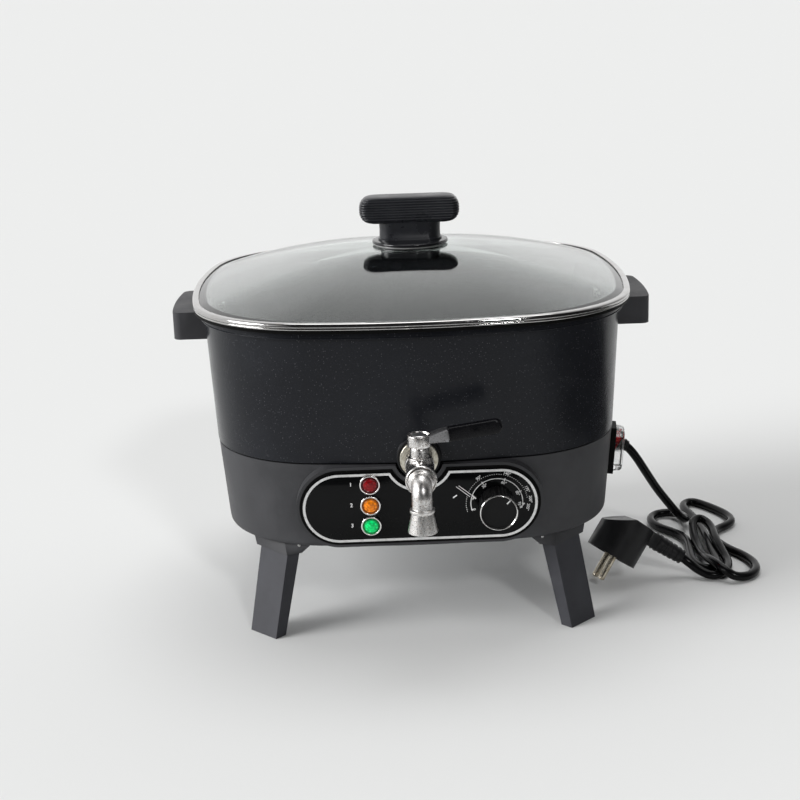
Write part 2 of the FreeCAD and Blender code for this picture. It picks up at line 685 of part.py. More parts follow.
def rocker():
    """Red rocker with a shallow V front, tipped with its upper end out."""
    side = [V(-6.35, -11.4, 6.0), V(-6.35, 0, 4.4), V(-6.35, 11.4, 6.0), V(-6.35, 10.4, -3.2),
            V(-6.35, -10.4, -3.2)]
    body = prism(side, X * 12.7)
    body.rotate(V(0, 0, 0), X, ROCKER_TILT)
    body.translate(Z * ROCKER_PIVOT)
    return placed(body, SWITCH)


def switch_cover():
    """Clear splash cover over the rocker, standing on the frame."""
    outer = rounded_block(9.4, 15.4, 4.0, 14.0, 3.0)
    crown = [e for e in outer.Edges if e.BoundBox.ZMin > 13.9]
    outer = outer.makeFillet(2.4, crown)
    inner = rounded_block(8.4, 14.4, 3.0, 12.8, 2.4)
    return placed(outer.cut(inner), SWITCH)


def cord_gland():
    """Moulded strain relief: flange on the wall, plug through it and a tapered, drooping nose."""
    flange = placed(rod(V(0, 0, 0), Z, 8.5, 2.0), GLAND)
    lock = placed(rod(V(0, 0, -5.0), Z, 6.2, 5.0), GLAND)
    nose = placed(Part.makeCone(6.6, 4.5, GLAND_LENGTH, V(0, 0, 0), Z), GLAND_CONE)
    inside = placed(block(V(-20, -20, -30), V(20, 20, 0)), GLAND)
    return flange.multiFuse([lock, nose.cut(inside)])


# ---- mains lead and plug ----

def power_cord():
    """Lead from the strain relief down to the knot."""
    return cord_tube(CORD_FALL)


def cord_hank():
    """Closed outer form of the tied bundle: its leaf of runs, its knot and its three loose loops."""
    leaf = prism([V(x, y, 0.3) for x, y in LEAF], Z * LEAF_HEIGHT)
    knot = Part.makeCylinder(KNOT_R, KNOT_HEIGHT, KNOT + Z * 0.3)
    loops = [cord_tube(points) for points in (LOOP_LEFT, LOOP_UPPER, LOOP_LOWER)]
    return leaf.multiFuse([knot] + loops).removeSplitter()


def cord_lead():
    """Lead from the bundle to the plug."""
    return cord_tube(CORD_LEAD)


def plug_body():
    """Right-angled moulded plug with a sloping back and a ribbed boot."""
    side = [V(-19, -25, 0), V(-18, -25, 20.5), V(-0.7, -25, 31), V(24, -25, 30.2), V(24, -25, 20.5),
            V(19, -25, 19.5), V(19, -25, 0)]
    profile = prism(side, Y * 50)
    drum = Part.makeCylinder(PLUG_R, 31).common(profile)
    neck = block(V(2, -8.5, 19.5), V(24, 8.5, 31)).common(profile)
    boot = Part.makeCone(6.0, 5.0, BOOT_END - 22, V(22, 0, BOOT_AXIS), X)
    ribs = [Part.makeCylinder(5.9, 2.2, V(x, 0, BOOT_AXIS), X) for x in (27, 32, 37)]
    roots = [rod(V(0, y, -1), Z, PIN_ROOT_R, 7) for y in (-PIN_SPACING / 2, PIN_SPACING / 2)]
    recess = Part.makeCylinder(PLUG_R - 2.2, 0.8)
    return placed(drum.multiFuse([neck, boot] + ribs).cut(roots + [recess]), PLUG)


def plug_pins():
    """Two round contact pins with rounded tips and thinner roots held in the body."""
    pins = []
    for y in (-PIN_SPACING / 2, PIN_SPACING / 2):
        pin = rod(V(0, y, -PIN_LENGTH), Z, PIN_R, PIN_LENGTH)
        tip = [e for e in pin.Edges if e.BoundBox.ZMax < 0.01 - PIN_LENGTH]
        pins.append(pin.makeFillet(1.4, tip).fuse(rod(V(0, y, 0), Z, PIN_ROOT_R, 6)))
    return placed(Part.makeCompound(pins), PLUG)


# ---- lid ----

HANDLE_BASE_R = 27.3
HANDLE_BASE_LOW = 244.4
HANDLE_BASE_HIGH = 247.4
STEM_HALF = 22.0
BAR_HALF = 35.5
BAR_LOW = 260.0
BAR_DEPTH = 12.0
GLASS = 4.0
LID_BORE = 3.0


def dome_height(scale):
    """Height of the glass over the rim outline scaled by scale."""
    return DOME_LOW + DOME_RISE * (1 - scale ** DOME_POWER)


def lid_glass():
    """Tempered glass dome, ground flat under the handle and bored for its screw."""
    scales = [1.0, 0.96, 0.9, 0.82, 0.74, 0.65, 0.56, 0.47, 0.38, 0.29, 0.22]
    upper = [(dome_height(s), 2.0, s) for s in scales]
    lower = [(z - GLASS, inset, s) for z, inset, s in upper]
    crown = HANDLE_BASE_LOW
    outside = stack([(DOME_LOW - GLASS + 2.0, 2.0, 1.0)] + upper + [(crown, 2.0, 0.16)])
    inside = stack([(DOME_LOW - GLASS - 2, 2.0, 0.985)] + [(z, i, s * 0.985) for z, i, s in lower]
                   + [(crown - GLASS, 2.0, 0.16)])
    return outside.cut([inside, rod(V(0, 0, 230), Z, LID_BORE, 20)])


def lid_band():
    """Rolled stainless band round the glass with a rest and a locating lip."""
    bead = stack([(BAND_LOW, 0.8), (BAND_LOW + 0.8, 0.0), (BAND_HIGH - 1.2, 0.0), (BAND_HIGH, 1.2)])
    bead = bead.cut(stack([(BAND_LOW - 1, 4.5), (BAND_HIGH + 1, 4.5)]))
    rest = ring(POT_TOP + 0.4, BAND_LOW + 0.6, 2.6, 12.6)
    lip = ring(COLLAR, BAND_LOW, 11.4, 12.6)
    glass_room = stack([(DOME_LOW - GLASS + 2.0, 2.0, 1.0), (DOME_LOW, 2.0, 1.0), (DOME_LOW + 3, 4.4, 1.0)])
    return bead.multiFuse([rest, lip]).cut(glass_room)


def lid_handle_base():
    """Flat round flange between the glass and the handle stem."""
    disc = tube(V(0, 0, HANDLE_BASE_LOW), Z, HANDLE_BASE_R, LID_BORE, HANDLE_BASE_HIGH - HANDLE_BASE_LOW)
    rim = [e for e in disc.Edges if e.BoundBox.XLength > 50 and e.BoundBox.ZMin > HANDLE_BASE_HIGH - 0.01]
    return disc.makeFillet(1.2, rim)


def lid_handle():
    """T handle: oval stem and a bar with rounded ends."""
    stem = racetrack(STEM_HALF, 9.5, HANDLE_BASE_HIGH, BAR_LOW + 2)
    bar = block(V(-BAR_HALF, -BAR_DEPTH, BAR_LOW), V(BAR_HALF, BAR_DEPTH, HANDLE_TOP))
    bar = bar.makeFillet(8.5, [e for e in bar.Edges if e.BoundBox.YLength > 1])
    bar = bar.makeFillet(3.0, [e for e in bar.Edges if e.BoundBox.YLength < 0.01])
    bore = rod(V(0, 0, HANDLE_BASE_HIGH - 1), Z, 2.0, 13)
    return bar.fuse(stem).cut(bore)


def lid_handle_washer():
    """Silicone washer under the glass."""
    low = HANDLE_BASE_LOW - GLASS - 1.5
    return tube(V(0, 0, low), Z, 10.0, LID_BORE, 1.5)


def lid_handle_screw():
    """Screw from under the glass into the handle."""
    low = HANDLE_BASE_LOW - GLASS - 1.5
    head = rod(V(0, 0, low - 2.5), Z, 5.0, 2.5)
    return head.fuse(rod(V(0, 0, low), Z, 2.0, HANDLE_BASE_HIGH + 11 - low))


# ---- all nodes ----

def nodes():
    """Every sub-part by the name of its node."""
    made = {
        "base_housing": base_housing(), "bottom_plate": bottom_plate(), "base_screws": base_screws(),
        "wax_pot": wax_pot(), "pot_seal_ring": pot_seal_ring(), "handle_screws": handle_screws(),
        "side_handle_right": side_handle(1), "side_handle_left": side_handle(-1),
        "heating_element": heating_element(), "heat_shield": heat_shield(), "shield_posts": shield_posts(),
        "thermal_fuse": thermal_fuse(), "thermostat_body": thermostat_body(), "knob_shaft": knob_shaft(),
        "terminal_block": terminal_block(), "panel_plate": panel_plate(), "knob": knob(),
        "knob_ring": knob_ring(), "tap_washer_rubber": tap_washer_rubber(),
        "tap_washer_steel": tap_washer_steel(), "tap_washer_inner": tap_washer_inner(),
        "tap_nut": tap_nut(), "tap_body": tap_body(), "tap_seats": tap_seats(), "tap_ball": tap_ball(),
        "tap_stem": tap_stem(), "tap_lever": tap_lever(), "tap_grip": tap_grip(),
        "tap_cap_screw": tap_cap_screw(), "tap_spout_nut": tap_spout_nut(), "tap_spout": tap_spout(),
        "switch_body": switch_body(), "rocker": rocker(), "switch_cover": switch_cover(),
        "cord_gland": cord_gland(), "power_cord": power_cord(), "cord_hank": cord_hank(),
        "cord_lead": cord_lead(), "plug_body": plug_body(), "plug_pins": plug_pins(),
        "lid_glass": lid_glass(), "lid_band": lid_band(), "lid_handle_base": lid_handle_base(),
        "lid_handle": lid_handle(), "lid_handle_washer": lid_handle_washer(),
        "lid_handle_screw": lid_handle_screw(),
    }
    for place, colour, height in LAMP_HEIGHTS:
        made["lamp_bezel_" + place] = lamp_bezel(height)
        made["lamp_" + colour] = lamp_lens(height)
    for corner, sx, sy in CORNERS:
        made["leg_" + corner] = mirrored(leg(), sx, sy)
        made["leg_socket_" + corner] = mirrored(leg_socket(), sx, sy)
    return made


def save(name, shape):
    """Write one node, moved so that the origin is the middle of the footprint."""
    moved = shape.copy()
    moved.translate(ORIGIN_SHIFT)
    moved.exportStep(os.path.join("parts", name + ".step"))
    print(name, len(moved.Solids), "solids", round(moved.Volume), "mm3", moved.isValid())


os.makedirs("parts", exist_ok=True)
for node_name, node_shape in nodes().items():
    save(node_name, node_shape)
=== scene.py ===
"""Candle wax melter: the finish of every piece, laid over its solids.

Pieces are worked out in millimetres about the upright axis of the pot, with the floor at z = 0 and the tap
towards -Y.  at() carries them into the frame, in metres.
"""

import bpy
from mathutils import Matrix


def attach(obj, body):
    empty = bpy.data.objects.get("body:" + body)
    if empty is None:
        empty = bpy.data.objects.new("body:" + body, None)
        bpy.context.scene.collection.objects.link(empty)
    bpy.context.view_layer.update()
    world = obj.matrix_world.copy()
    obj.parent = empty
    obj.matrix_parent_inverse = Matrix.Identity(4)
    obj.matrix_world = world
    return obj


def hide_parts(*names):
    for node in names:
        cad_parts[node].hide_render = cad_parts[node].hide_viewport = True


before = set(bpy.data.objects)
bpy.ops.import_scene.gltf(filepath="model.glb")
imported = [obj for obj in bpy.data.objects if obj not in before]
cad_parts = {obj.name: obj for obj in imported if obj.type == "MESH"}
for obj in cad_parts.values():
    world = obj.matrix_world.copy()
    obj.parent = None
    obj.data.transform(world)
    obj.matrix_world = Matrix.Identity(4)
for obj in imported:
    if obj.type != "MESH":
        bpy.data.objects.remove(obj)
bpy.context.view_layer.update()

import math

import bmesh
import bpy
import numpy as np
from mathutils import Matrix, Vector

# ---- camera ----
# A long lens a little over a metre in front of the melter and above its lid, looking down at 15.6 degrees.

POT_AXIS = np.array((0.0, 28.75, 0.0))
CAMERA_AT = (-19.7, -1100.0, 434.6)


def at(points):
    """Millimetres about the pot's axis to metres in the frame: (p + axis) / 1000."""
    return (np.asarray(points, float) + POT_AXIS) / 1000.0


def linked(name, data):
    """New object of the scene with its data."""
    made = bpy.data.objects.new(name, data)
    bpy.context.scene.collection.objects.link(made)
    return made


yaw, pitch, roll = -0.009, 0.273, -0.034
ahead = np.array((-math.sin(yaw) * math.cos(pitch), math.cos(yaw) * math.cos(pitch), -math.sin(pitch)))
level = np.array((math.cos(yaw), math.sin(yaw), 0.0))
upward = np.cross(level, ahead)
across = math.cos(roll) * level + math.sin(roll) * upward
upward = math.cos(roll) * upward - math.sin(roll) * level

camera = linked("camera", bpy.data.cameras.new("camera"))
camera.data.sensor_width = 36.0
camera.data.lens = 69.16
axes = Matrix(np.column_stack((across, upward, -ahead)).tolist())
camera.matrix_world = Matrix.Translation(at(CAMERA_AT)) @ axes.to_4x4()
bpy.context.scene.camera = camera
bpy.context.scene.view_settings.view_transform = "Standard"

# ---- mains lead ----
# Round black PVC lead, a little under a metre long.  It falls from the right wall to the table, is tied into
# a small hank with three loose loops, and ends in the plug.

CORD_THICKNESS = 6.6
DUST_SCALE = 1400.0
FALL = [(157.6, 4.3, 84.0), (160.3, 5.2, 82.7), (167.4, 8.6, 73.6), (176.4, 15.5, 58.5),
        (187.2, 25.0, 40.5), (198.6, 31.5, 25.0), (206.3, 34.0, 14.8), (212.5, 39.0, 9.2)]
LEFT_LOOP = [(215.5, 55.0, 6.0), (208.0, 70.0, 4.4), (196.0, 71.0, 3.4), (189.0, 62.5, 3.4),
             (188.0, 50.5, 3.4), (192.0, 38.5, 3.4), (200.0, 28.0, 3.6), (206.5, 17.5, 3.4)]
LEFT_LANES = [(208.0, 5.0, 3.4), (205.5, -14.0, 3.4), (203.8, -32.0, 3.4), (206.5, -46.0, 3.4),
              (213.0, -51.5, 3.4), (219.5, -46.0, 3.4), (222.0, -32.0, 3.4), (222.5, -12.0, 3.4),
              (222.8, 8.0, 3.4), (224.3, 28.0, 3.4), (224.3, 46.0, 3.4)]
UPPER_LOOP = [(222.8, 62.0, 3.4), (219.5, 78.0, 3.4), (221.0, 92.0, 3.4), (230.0, 97.0, 3.4),
              (238.5, 86.0, 3.4), (246.0, 73.0, 3.4), (251.4, 60.0, 3.4), (251.4, 47.0, 3.4),
              (244.0, 37.0, 3.4), (234.0, 29.0, 3.4)]
LOWER_LOOP = [(229.6, 16.0, 3.4), (230.2, 2.0, 3.4), (236.0, -14.0, 3.4), (244.0, -27.0, 3.4),
              (248.0, -42.0, 3.4), (246.0, -56.0, 3.4), (238.0, -67.0, 3.4), (227.5, -69.5, 4.4),
              (221.5, -67.0, 8.0), (217.0, -60.0, 10.2), (214.0, -50.0, 10.2)]
KNOT = [(212.6, -37.0, 7.6), (213.2, -22.0, 4.0), (213.6, -6.0, 4.0), (213.0, 6.0, 7.0),
        (213.6, 17.0, 11.6), (216.6, 25.0, 14.2), (222.0, 28.0, 14.2), (226.6, 23.0, 12.2),
        (228.0, 13.0, 10.6), (227.2, 2.0, 10.0), (227.0, -10.0, 8.6), (228.4, -24.0, 5.4)]
PLUG_LEAD = [(229.6, -36.0, 3.4), (226.5, -50.0, 3.4), (219.5, -61.5, 3.4), (211.0, -63.5, 3.6),
             (203.0, -58.5, 6.0), (197.0, -53.5, 10.2), (191.2, -52.6, 14.8)]


def put(tree, kind, wires=None, **settings):
    """Adds a shader node, sets its properties, and fills its inputs with values or with other sockets."""
    node = tree.nodes.new("ShaderNode" + kind)
    for name, value in settings.items():
        setattr(node, name, value)
    for name, value in (wires or {}).items():
        if isinstance(value, bpy.types.NodeSocket):
            tree.links.new(value, node.inputs[name])
        else:
            node.inputs[name].default_value = value
    return node


def effect(name, takes, gives):
    """Empty shader node group with float inputs and outputs; returns its tree and its two ends."""
    tree = bpy.data.node_groups.new(name, "ShaderNodeTree")
    for label, value in takes:
        tree.interface.new_socket(label, in_out="INPUT", socket_type="NodeSocketFloat").default_value = value
    for label in gives:
        tree.interface.new_socket(label, in_out="OUTPUT", socket_type="NodeSocketFloat")
    return tree, tree.nodes.new("NodeGroupInput").outputs, tree.nodes.new("NodeGroupOutput").inputs


def per_metre(tree, size):
    """Texture scale for a feature size in millimetres: 1000 / size."""
    return put(tree, "Math", {0: 1000.0, 1: size}, operation="DIVIDE").outputs[0]


def spread(tree, value, low, high, floor=0.0, ceiling=1.0):
    """Straight-line map of value from low..high to floor..ceiling, held at both ends."""
    return put(tree, "MapRange", {"Value": value, "From Min": low, "From Max": high,
                                  "To Min": floor, "To Max": ceiling}).outputs[0]


def tint(tree, share, first, second):
    """Colour between first and second by share."""
    mixed = put(tree, "Mix", {0: share, 6: first, 7: second}, data_type="RGBA")
    return mixed.outputs[2]


def object_place(tree):
    """Object coordinates, in metres."""
    return put(tree, "TexCoord").outputs["Object"]


def noise(tree, place, scale, **settings):
    """Value of a noise texture at a place."""
    return put(tree, "TexNoise", {"Vector": place, "Scale": scale, **settings}).outputs[0]


def join(tree, targets, **sources):
    """Links each source to the input of the same name."""
    for label, source in sources.items():
        tree.links.new(source, targets[label.replace("_", " ")])


def product(tree, first, second):
    """First times second."""
    return put(tree, "Math", {0: first, 1: second}, operation="MULTIPLY").outputs[0]


# Fine moulded grain, a slow cloudiness, and dust that settles on faces turned upwards
tree, takes, gives = effect("moulded grain", (("Grain size", 0.4), ("Cloud size", 25.0)),
                            ("Height", "Cloud", "Dust"))
place = object_place(tree)
fine = noise(tree, place, per_metre(tree, takes["Grain size"]), Detail=2.0)
slow = noise(tree, place, per_metre(tree, takes["Cloud size"]), Detail=4.0, Roughness=0.6)
flecks = spread(tree, noise(tree, place, DUST_SCALE, Detail=1.0), 0.66, 0.74)
facing = put(tree, "SeparateXYZ", {0: put(tree, "NewGeometry").outputs["Normal"]}).outputs
turned_up = spread(tree, facing[2], 0.2, 1.0, 0.15, 1.0)
join(tree, gives, Height=fine, Cloud=spread(tree, slow, 0.35, 0.65), Dust=product(tree, flecks, turned_up))
moulded_grain = tree


def principled(name, **constants):
    """New material, its tree and its Principled shader, whose inputs take the constants."""
    material = bpy.data.materials.new(name)
    material.use_nodes = True
    skin = material.node_tree.nodes["Principled BSDF"]
    for label, value in constants.items():
        skin.inputs[label.replace("_", " ")].default_value = value
    return material, material.node_tree, skin


def roughen(tree, skin, height, depth):
    """Bumps a shader by a height of the given depth in millimetres."""
    bump = put(tree, "Bump", {"Height": height, "Strength": 1.0, "Distance": depth / 1000.0})
    tree.links.new(bump.outputs[0], skin.inputs["Normal"])


def moulded(name, colour, rough, grain=0.4, depth=0.02, cloud=25.0, change=0.08, dust=0.25, shine=0.2,
            **constants):
    """Plastic or rubber: bump from the grain, roughness and a paler bloom from the cloud, and dust flecks."""
    material, tree, skin = principled(name, Specular_IOR_Level=shine, **constants)
    texture = put(tree, "Group", {"Grain size": grain, "Cloud size": cloud}, node_tree=moulded_grain).outputs
    base = np.array(colour)
    clouded = tint(tree, texture["Cloud"], (*(base * 0.88), 1.0), (*(base * 1.12), 1.0))
    dusty = spread(tree, texture["Dust"], 0.0, 1.0, 0.0, dust)
    join(tree, skin.inputs, Base_Color=tint(tree, dusty, clouded, (0.2, 0.195, 0.19, 1.0)),
         Roughness=spread(tree, texture["Cloud"], 0.0, 1.0, rough - change, rough + change))
    roughen(tree, skin, texture["Height"], depth)
    return material


cord_pvc = moulded("cord PVC", (0.004, 0.004, 0.0045), 0.2, grain=0.9, depth=0.008, cloud=9.0, change=0.05,
                   dust=0.05, shine=0.13)

route = FALL + LEFT_LOOP + LEFT_LANES + UPPER_LOOP + LOWER_LOOP + KNOT + PLUG_LEAD
lead_curve = bpy.data.curves.new("mains_lead", "CURVE")
lead_curve.dimensions = "3D"
run = lead_curve.splines.new("NURBS")
run.points.add(len(route) - 1)
run.points.foreach_set("co", np.column_stack((at(route), np.ones(len(route)))).ravel())
run.order_u = 3
run.use_endpoint_u = True
run.resolution_u = 12
lead_curve.bevel_depth = CORD_THICKNESS / 2000.0
lead_curve.bevel_resolution = 6
lead_curve.use_fill_caps = True
mains_lead = linked("mains_lead", lead_curve)
lead_curve.materials.append(cord_pvc)
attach(mains_lead, "root")
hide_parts("power_cord", "cord_hank", "cord_lead")

# ---- strain relief ----
# Moulded rubber sleeve that is pressed through the right wall: a round flange and a ribbed, drooping nose.

SIDE_R = 450.0
RIM_X, RIM_Y, CORNER_R = 155.0, 152.0, 92.0
SEAM_INSET, SEAM_Z = 12.0, 123.0
DRAFT = 4.7
GLAND_Y, GLAND_Z, GLAND_DROOP = 5.0, 92.0, 25.0
NOSE_LENGTH, NOSE_R, NOSE_TAPER, NOSE_RIB, NOSE_PITCH = 22.0, 6.6, 2.1, 0.45, 4.0


def turn(axis, degrees):
    """Rotation matrix about a main axis."""
    return np.array(Matrix.Rotation(math.radians(degrees), 3, axis))


def wall_frame(y, z, droop=DRAFT):
    """Origin and axes on the right wall: x to the rear, y up the wall, z outwards and down by the droop."""
    radius = SIDE_R - SEAM_INSET - (SEAM_Z - z) * math.tan(math.radians(DRAFT))
    swing = math.asin(y / radius)
    origin = np.array((RIM_X - SIDE_R + radius * math.cos(swing), y, z))
    return origin, turn("Z", 90.0 + math.degrees(swing)) @ turn("X", 90.0 + droop)


def rounded(corners, steps=5, closed=False):
    """Profile through corners (u, v, radius): at each, steps + 1 points of an arc tangent to its sides."""
    u, v, radius = np.asarray(corners, float).T
    corner = u + 1j * v
    into = corner - np.roll(corner, 1)
    out = np.roll(corner, -1) - corner
    if not closed:
        into[0] = out[0]
        out[-1] = into[-1]
    bend = np.angle(out / into)
    heading = into / abs(into)
    start = corner - heading * radius * np.tan(abs(bend) / 2)
    centre = start + 1j * np.sign(bend) * heading * radius
    share = np.linspace(0.0, 1.0, steps + 1)
    points = (centre[:, None] + (start - centre)[:, None] * np.exp(1j * bend[:, None] * share)).ravel()
    kept = np.append(True, abs(np.diff(points)) > 1e-4)
    return np.column_stack((points.real, points.imag))[kept]


def circle(steps):
    """Angles round a full turn."""
    return np.linspace(0.0, 2.0 * math.pi, steps, endpoint=False)


def turned(profile, steps=72, cut=0.0):
    """Surface of revolution about local z: (r cos t, r sin t, h) for each (r, h), with r less the cut."""
    profile = np.asarray(profile, float)
    reach = profile[:, :1] - cut
    t = circle(steps)
    return np.stack((reach * np.cos(t), reach * np.sin(t), profile[:, 1:] + 0.0 * t), axis=-1)


def placed(grid, origin, axes=np.eye(3)):
    """Grid in a local frame carried to its place: origin + axes applied to each point."""
    return np.asarray(origin, float) + grid @ axes.T


def flat_row(outline, height):
    """Plan outline (x, y) at a height."""
    return np.column_stack((outline, np.full(len(outline), height)))


def pole(rows, *point):
    """Row like those given, with all its points at one place."""
    return np.zeros_like(rows[:1]) + point


def woven(grid, wrap_rows=False, wrap_columns=True):
    """Vertices and faces of a grid; a first or last row that is one point becomes a pole with a fan."""
    rows, columns = grid.shape[:2]
    collapsed = np.ptp(grid, axis=1).max(axis=1) < 1e-6
    low, high = (not wrap_rows) and collapsed[0], (not wrap_rows) and collapsed[-1]
    body = grid[int(low):rows - int(high)]
    count = len(body)
    i = np.arange(count if wrap_rows else count - 1)[:, None]
    j = np.arange(columns if wrap_columns else columns - 1)[None, :]
    right, above = (j + 1) % columns, (i + 1) % count
    quads = np.stack((i * columns + j, i * columns + right, above * columns + right, above * columns + j),
                     axis=-1).reshape(-1, 4)
    vertices = [body.reshape(-1, 3)]
    faces = quads.tolist()
    ring = np.arange(columns)
    following = (ring + 1) % columns
    if low:
        pole = np.full(columns, count * columns)
        vertices.append(grid[0, :1])
        faces += np.column_stack((pole, following, ring)).tolist()
    if high:
        pole = np.full(columns, count * columns + int(low))
        top = (count - 1) * columns
        vertices.append(grid[-1, :1])
        faces += np.column_stack((pole, top + ring, top + following)).tolist()
    return np.concatenate(vertices), faces


def lathed(profile, place, steps=72, closed=False):
    """Woven surface of revolution at a place, which is an origin and, if it is turned, its axes."""
    return woven(placed(turned(profile, steps), *place), wrap_rows=closed)


def declared(made, material, body, replaced):
    """Gives an object its material, the body it rides and the nodes it stands for."""
    made.data.materials.clear()
    made.data.materials.append(material)
    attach(made, body)
    if replaced:
        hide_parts(*replaced)


def piece(name, surfaces, material, body, replaced=(), sharp=40.0):
    """Mesh object of one or more woven surfaces, smooth but for edges sharper than sharp degrees."""
    vertices = []
    faces = []
    for points, polygons in surfaces:
        offset = sum(len(v) for v in vertices)
        faces += [[index + offset for index in polygon] for polygon in polygons]
        vertices.append(points)
    mesh = bpy.data.meshes.new(name)
    mesh.from_pydata(at(np.concatenate(vertices)).tolist(), [], faces)
    mesh.shade_smooth()
    mesh.set_sharp_from_angle(angle=math.radians(sharp))
    declared(linked(name, mesh), material, body, replaced)


rubber = moulded("rubber", (0.009, 0.009, 0.0095), 0.5, grain=0.5)
flange = rounded([(0, -1, 0), (8.5, -1, 0), (8.5, 2, 0.7), (0, 2, 0)])
along = np.linspace(-2.0, NOSE_LENGTH, 97)
ribs = NOSE_RIB * (np.cos(2.0 * math.pi * along / NOSE_PITCH) > 0.2) * (along > 3.0) * (along < 20.0)
nose = np.column_stack((NOSE_R - NOSE_TAPER * np.clip(along, 0, 22) / NOSE_LENGTH - NOSE_RIB + ribs, along))
nose = np.concatenate(([(0.0, -2.0)], nose, [(3.3, NOSE_LENGTH), (3.2, 20.0), (0.0, 20.0)]))
piece("strain_relief", [lathed(flange, wall_frame(GLAND_Y, GLAND_Z)),
                        lathed(nose, wall_frame(GLAND_Y, GLAND_Z, GLAND_DROOP), 48)],
      rubber, "root", ["cord_gland"])

# ---- plug ----
# Right-angled mains plug moulded in black PVC round two nickel-plated pins, with a ribbed boot on the lead.


def softened(name, node, material, body, width=0.5, angle=35.0, segments=2):
    """Copy of a solid with its triangles merged, its sharp edges rounded and its curved faces smooth."""
    shape = bmesh.new()
    shape.from_mesh(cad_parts[node].data)
    bmesh.ops.remove_doubles(shape, verts=shape.verts, dist=2e-5)
    bmesh.ops.dissolve_limit(shape, angle_limit=math.radians(1.0), verts=shape.verts, edges=shape.edges)
    mesh = bpy.data.meshes.new(name)
    shape.to_mesh(mesh)
    shape.free()
    mesh.shade_smooth()
    mesh.set_sharp_from_angle(angle=math.radians(angle))
    made = linked(name, mesh)
    if width:
        edge = made.modifiers.new("rounded edges", "BEVEL")
        edge.width = width / 1000.0
        edge.segments = segments
        edge.limit_method = "ANGLE"
        edge.angle_limit = math.radians(angle)
        edge.harden_normals = True
    declared(made, material, body, [node])


# Stains, dark pits and fine scratches of plated metal
tree, takes, gives = effect("worn metal", (("Stain size", 4.0), ("Scratch size", 0.6), ("Pit size", 1.0)),
                            ("Stain", "Pits", "Scratch"))
place = object_place(tree)
blots = noise(tree, place, per_metre(tree, takes["Stain size"]), Detail=5.0, Roughness=0.65)
lines = noise(tree, place, per_metre(tree, takes["Scratch size"]), Detail=3.0, Distortion=0.6)
holes = noise(tree, place, per_metre(tree, takes["Pit size"]), Detail=2.0)
join(tree, gives, Stain=spread(tree, blots, 0.46, 0.66), Pits=spread(tree, holes, 0.56, 0.63), Scratch=lines)
worn_metal = tree


def metal(name, colour, stained, rough, stain_rough, size=4.0, depth=0.01, amount=1.0, scratch=0.6, pits=0.0,
          pit_size=1.0):
    """Plated or bare metal: stains change its colour and roughness, pits darken it, scratches bump it."""
    material, tree, skin = principled(name, Metallic=1.0)
    texture = put(tree, "Group", {"Stain size": size, "Scratch size": scratch, "Pit size": pit_size},
                  node_tree=worn_metal).outputs
    share = spread(tree, texture["Stain"], 0.0, 1.0, 0.0, amount)
    stains = tint(tree, share, (*colour, 1.0), (*stained, 1.0))
    pitted = spread(tree, texture["Pits"], 0.0, 1.0, 0.0, pits)
    join(tree, skin.inputs, Base_Color=tint(tree, pitted, stains, (0.06, 0.055, 0.05, 1.0)),
         Roughness=spread(tree, texture["Stain"], 0.0, 1.0, rough, stain_rough))
    roughen(tree, skin, texture["Scratch"], depth)
    return material


pin_nickel = metal("pin nickel", (0.72, 0.66, 0.54), (0.5, 0.42, 0.3), 0.22, 0.4)
plug_pvc = moulded("plug PVC", (0.01, 0.01, 0.011), 0.38, grain=0.6, cloud=12.0, dust=0.1, shine=0.25)
softened("plug_moulding", "plug_body", plug_pvc, "root", 0.7, 30.0, 3)
BOOT_START, BOOT_END, BOOT_R, BOOT_TAPER, BOOT_RIB, BOOT_PITCH = 22.5, 46.4, 6.6, 0.05, 1.3, 4.1
PLUG_AT, BOOT_RISE = np.array((139.0, -56.0, 19.3)), 25.4
along = np.linspace(BOOT_START, BOOT_END, 121)
ribs = BOOT_RIB * np.clip(0.5 + 3.0 * np.cos(2.0 * math.pi * (along - 26.0) / BOOT_PITCH), 0.0, 1.0)
sleeve = np.column_stack((BOOT_R - BOOT_TAPER * (along - BOOT_START) - BOOT_RIB + ribs, along))
sleeve = np.concatenate(([(3.4, BOOT_START)], sleeve, [(3.4, BOOT_END)]))
plug_axes = turn("Z", 5.0) @ turn("X", -15.0) @ turn("Y", 34.0)
boot_at = PLUG_AT + plug_axes @ np.array((0.0, 0.0, BOOT_RISE))
piece("plug_boot", [lathed(sleeve, (boot_at, plug_axes @ turn("Y", 90.0)), 48, True)], plug_pvc, "root")
softened("plug_contacts", "plug_pins", pin_nickel, "root", 0.0)

# ---- body shell ----
# Injection-moulded shell of dark grey plastic with a raised seat for the panel, on a vented steel floor.

housing_plastic = moulded("housing plastic", (0.05, 0.0505, 0.054), 0.5, grain=0.35, depth=0.03, dust=0.2,
                          shine=0.15)
softened("body_shell", "base_housing", housing_plastic, "root", 0.8, 38.0, 3)

zinc_steel = metal("zinc steel", (0.55, 0.56, 0.58), (0.4, 0.41, 0.42), 0.32, 0.5, 9.0)
screw_steel = metal("screw steel", (0.62, 0.62, 0.62), (0.45, 0.44, 0.42), 0.25, 0.4, 2.0)
heater_steel = metal("heater steel", (0.4, 0.37, 0.34), (0.22, 0.17, 0.14), 0.4, 0.55, 12.0)
shield_aluminium = metal("shield aluminium", (0.76, 0.76, 0.77), (0.6, 0.6, 0.6), 0.28, 0.42, 15.0)


def refinished(material, *names):
    """Gives the nodes of hidden works their finish."""
    for name in names:
        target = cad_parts[name]
        target.data.materials.clear()
        target.data.materials.append(material)


refinished(zinc_steel, "bottom_plate", "shield_posts", "thermal_fuse", "knob_shaft")
refinished(heater_steel, "heating_element")
refinished(shield_aluminium, "heat_shield")
softened("base_screw_set", "base_screws", screw_steel, "root", 0.4)

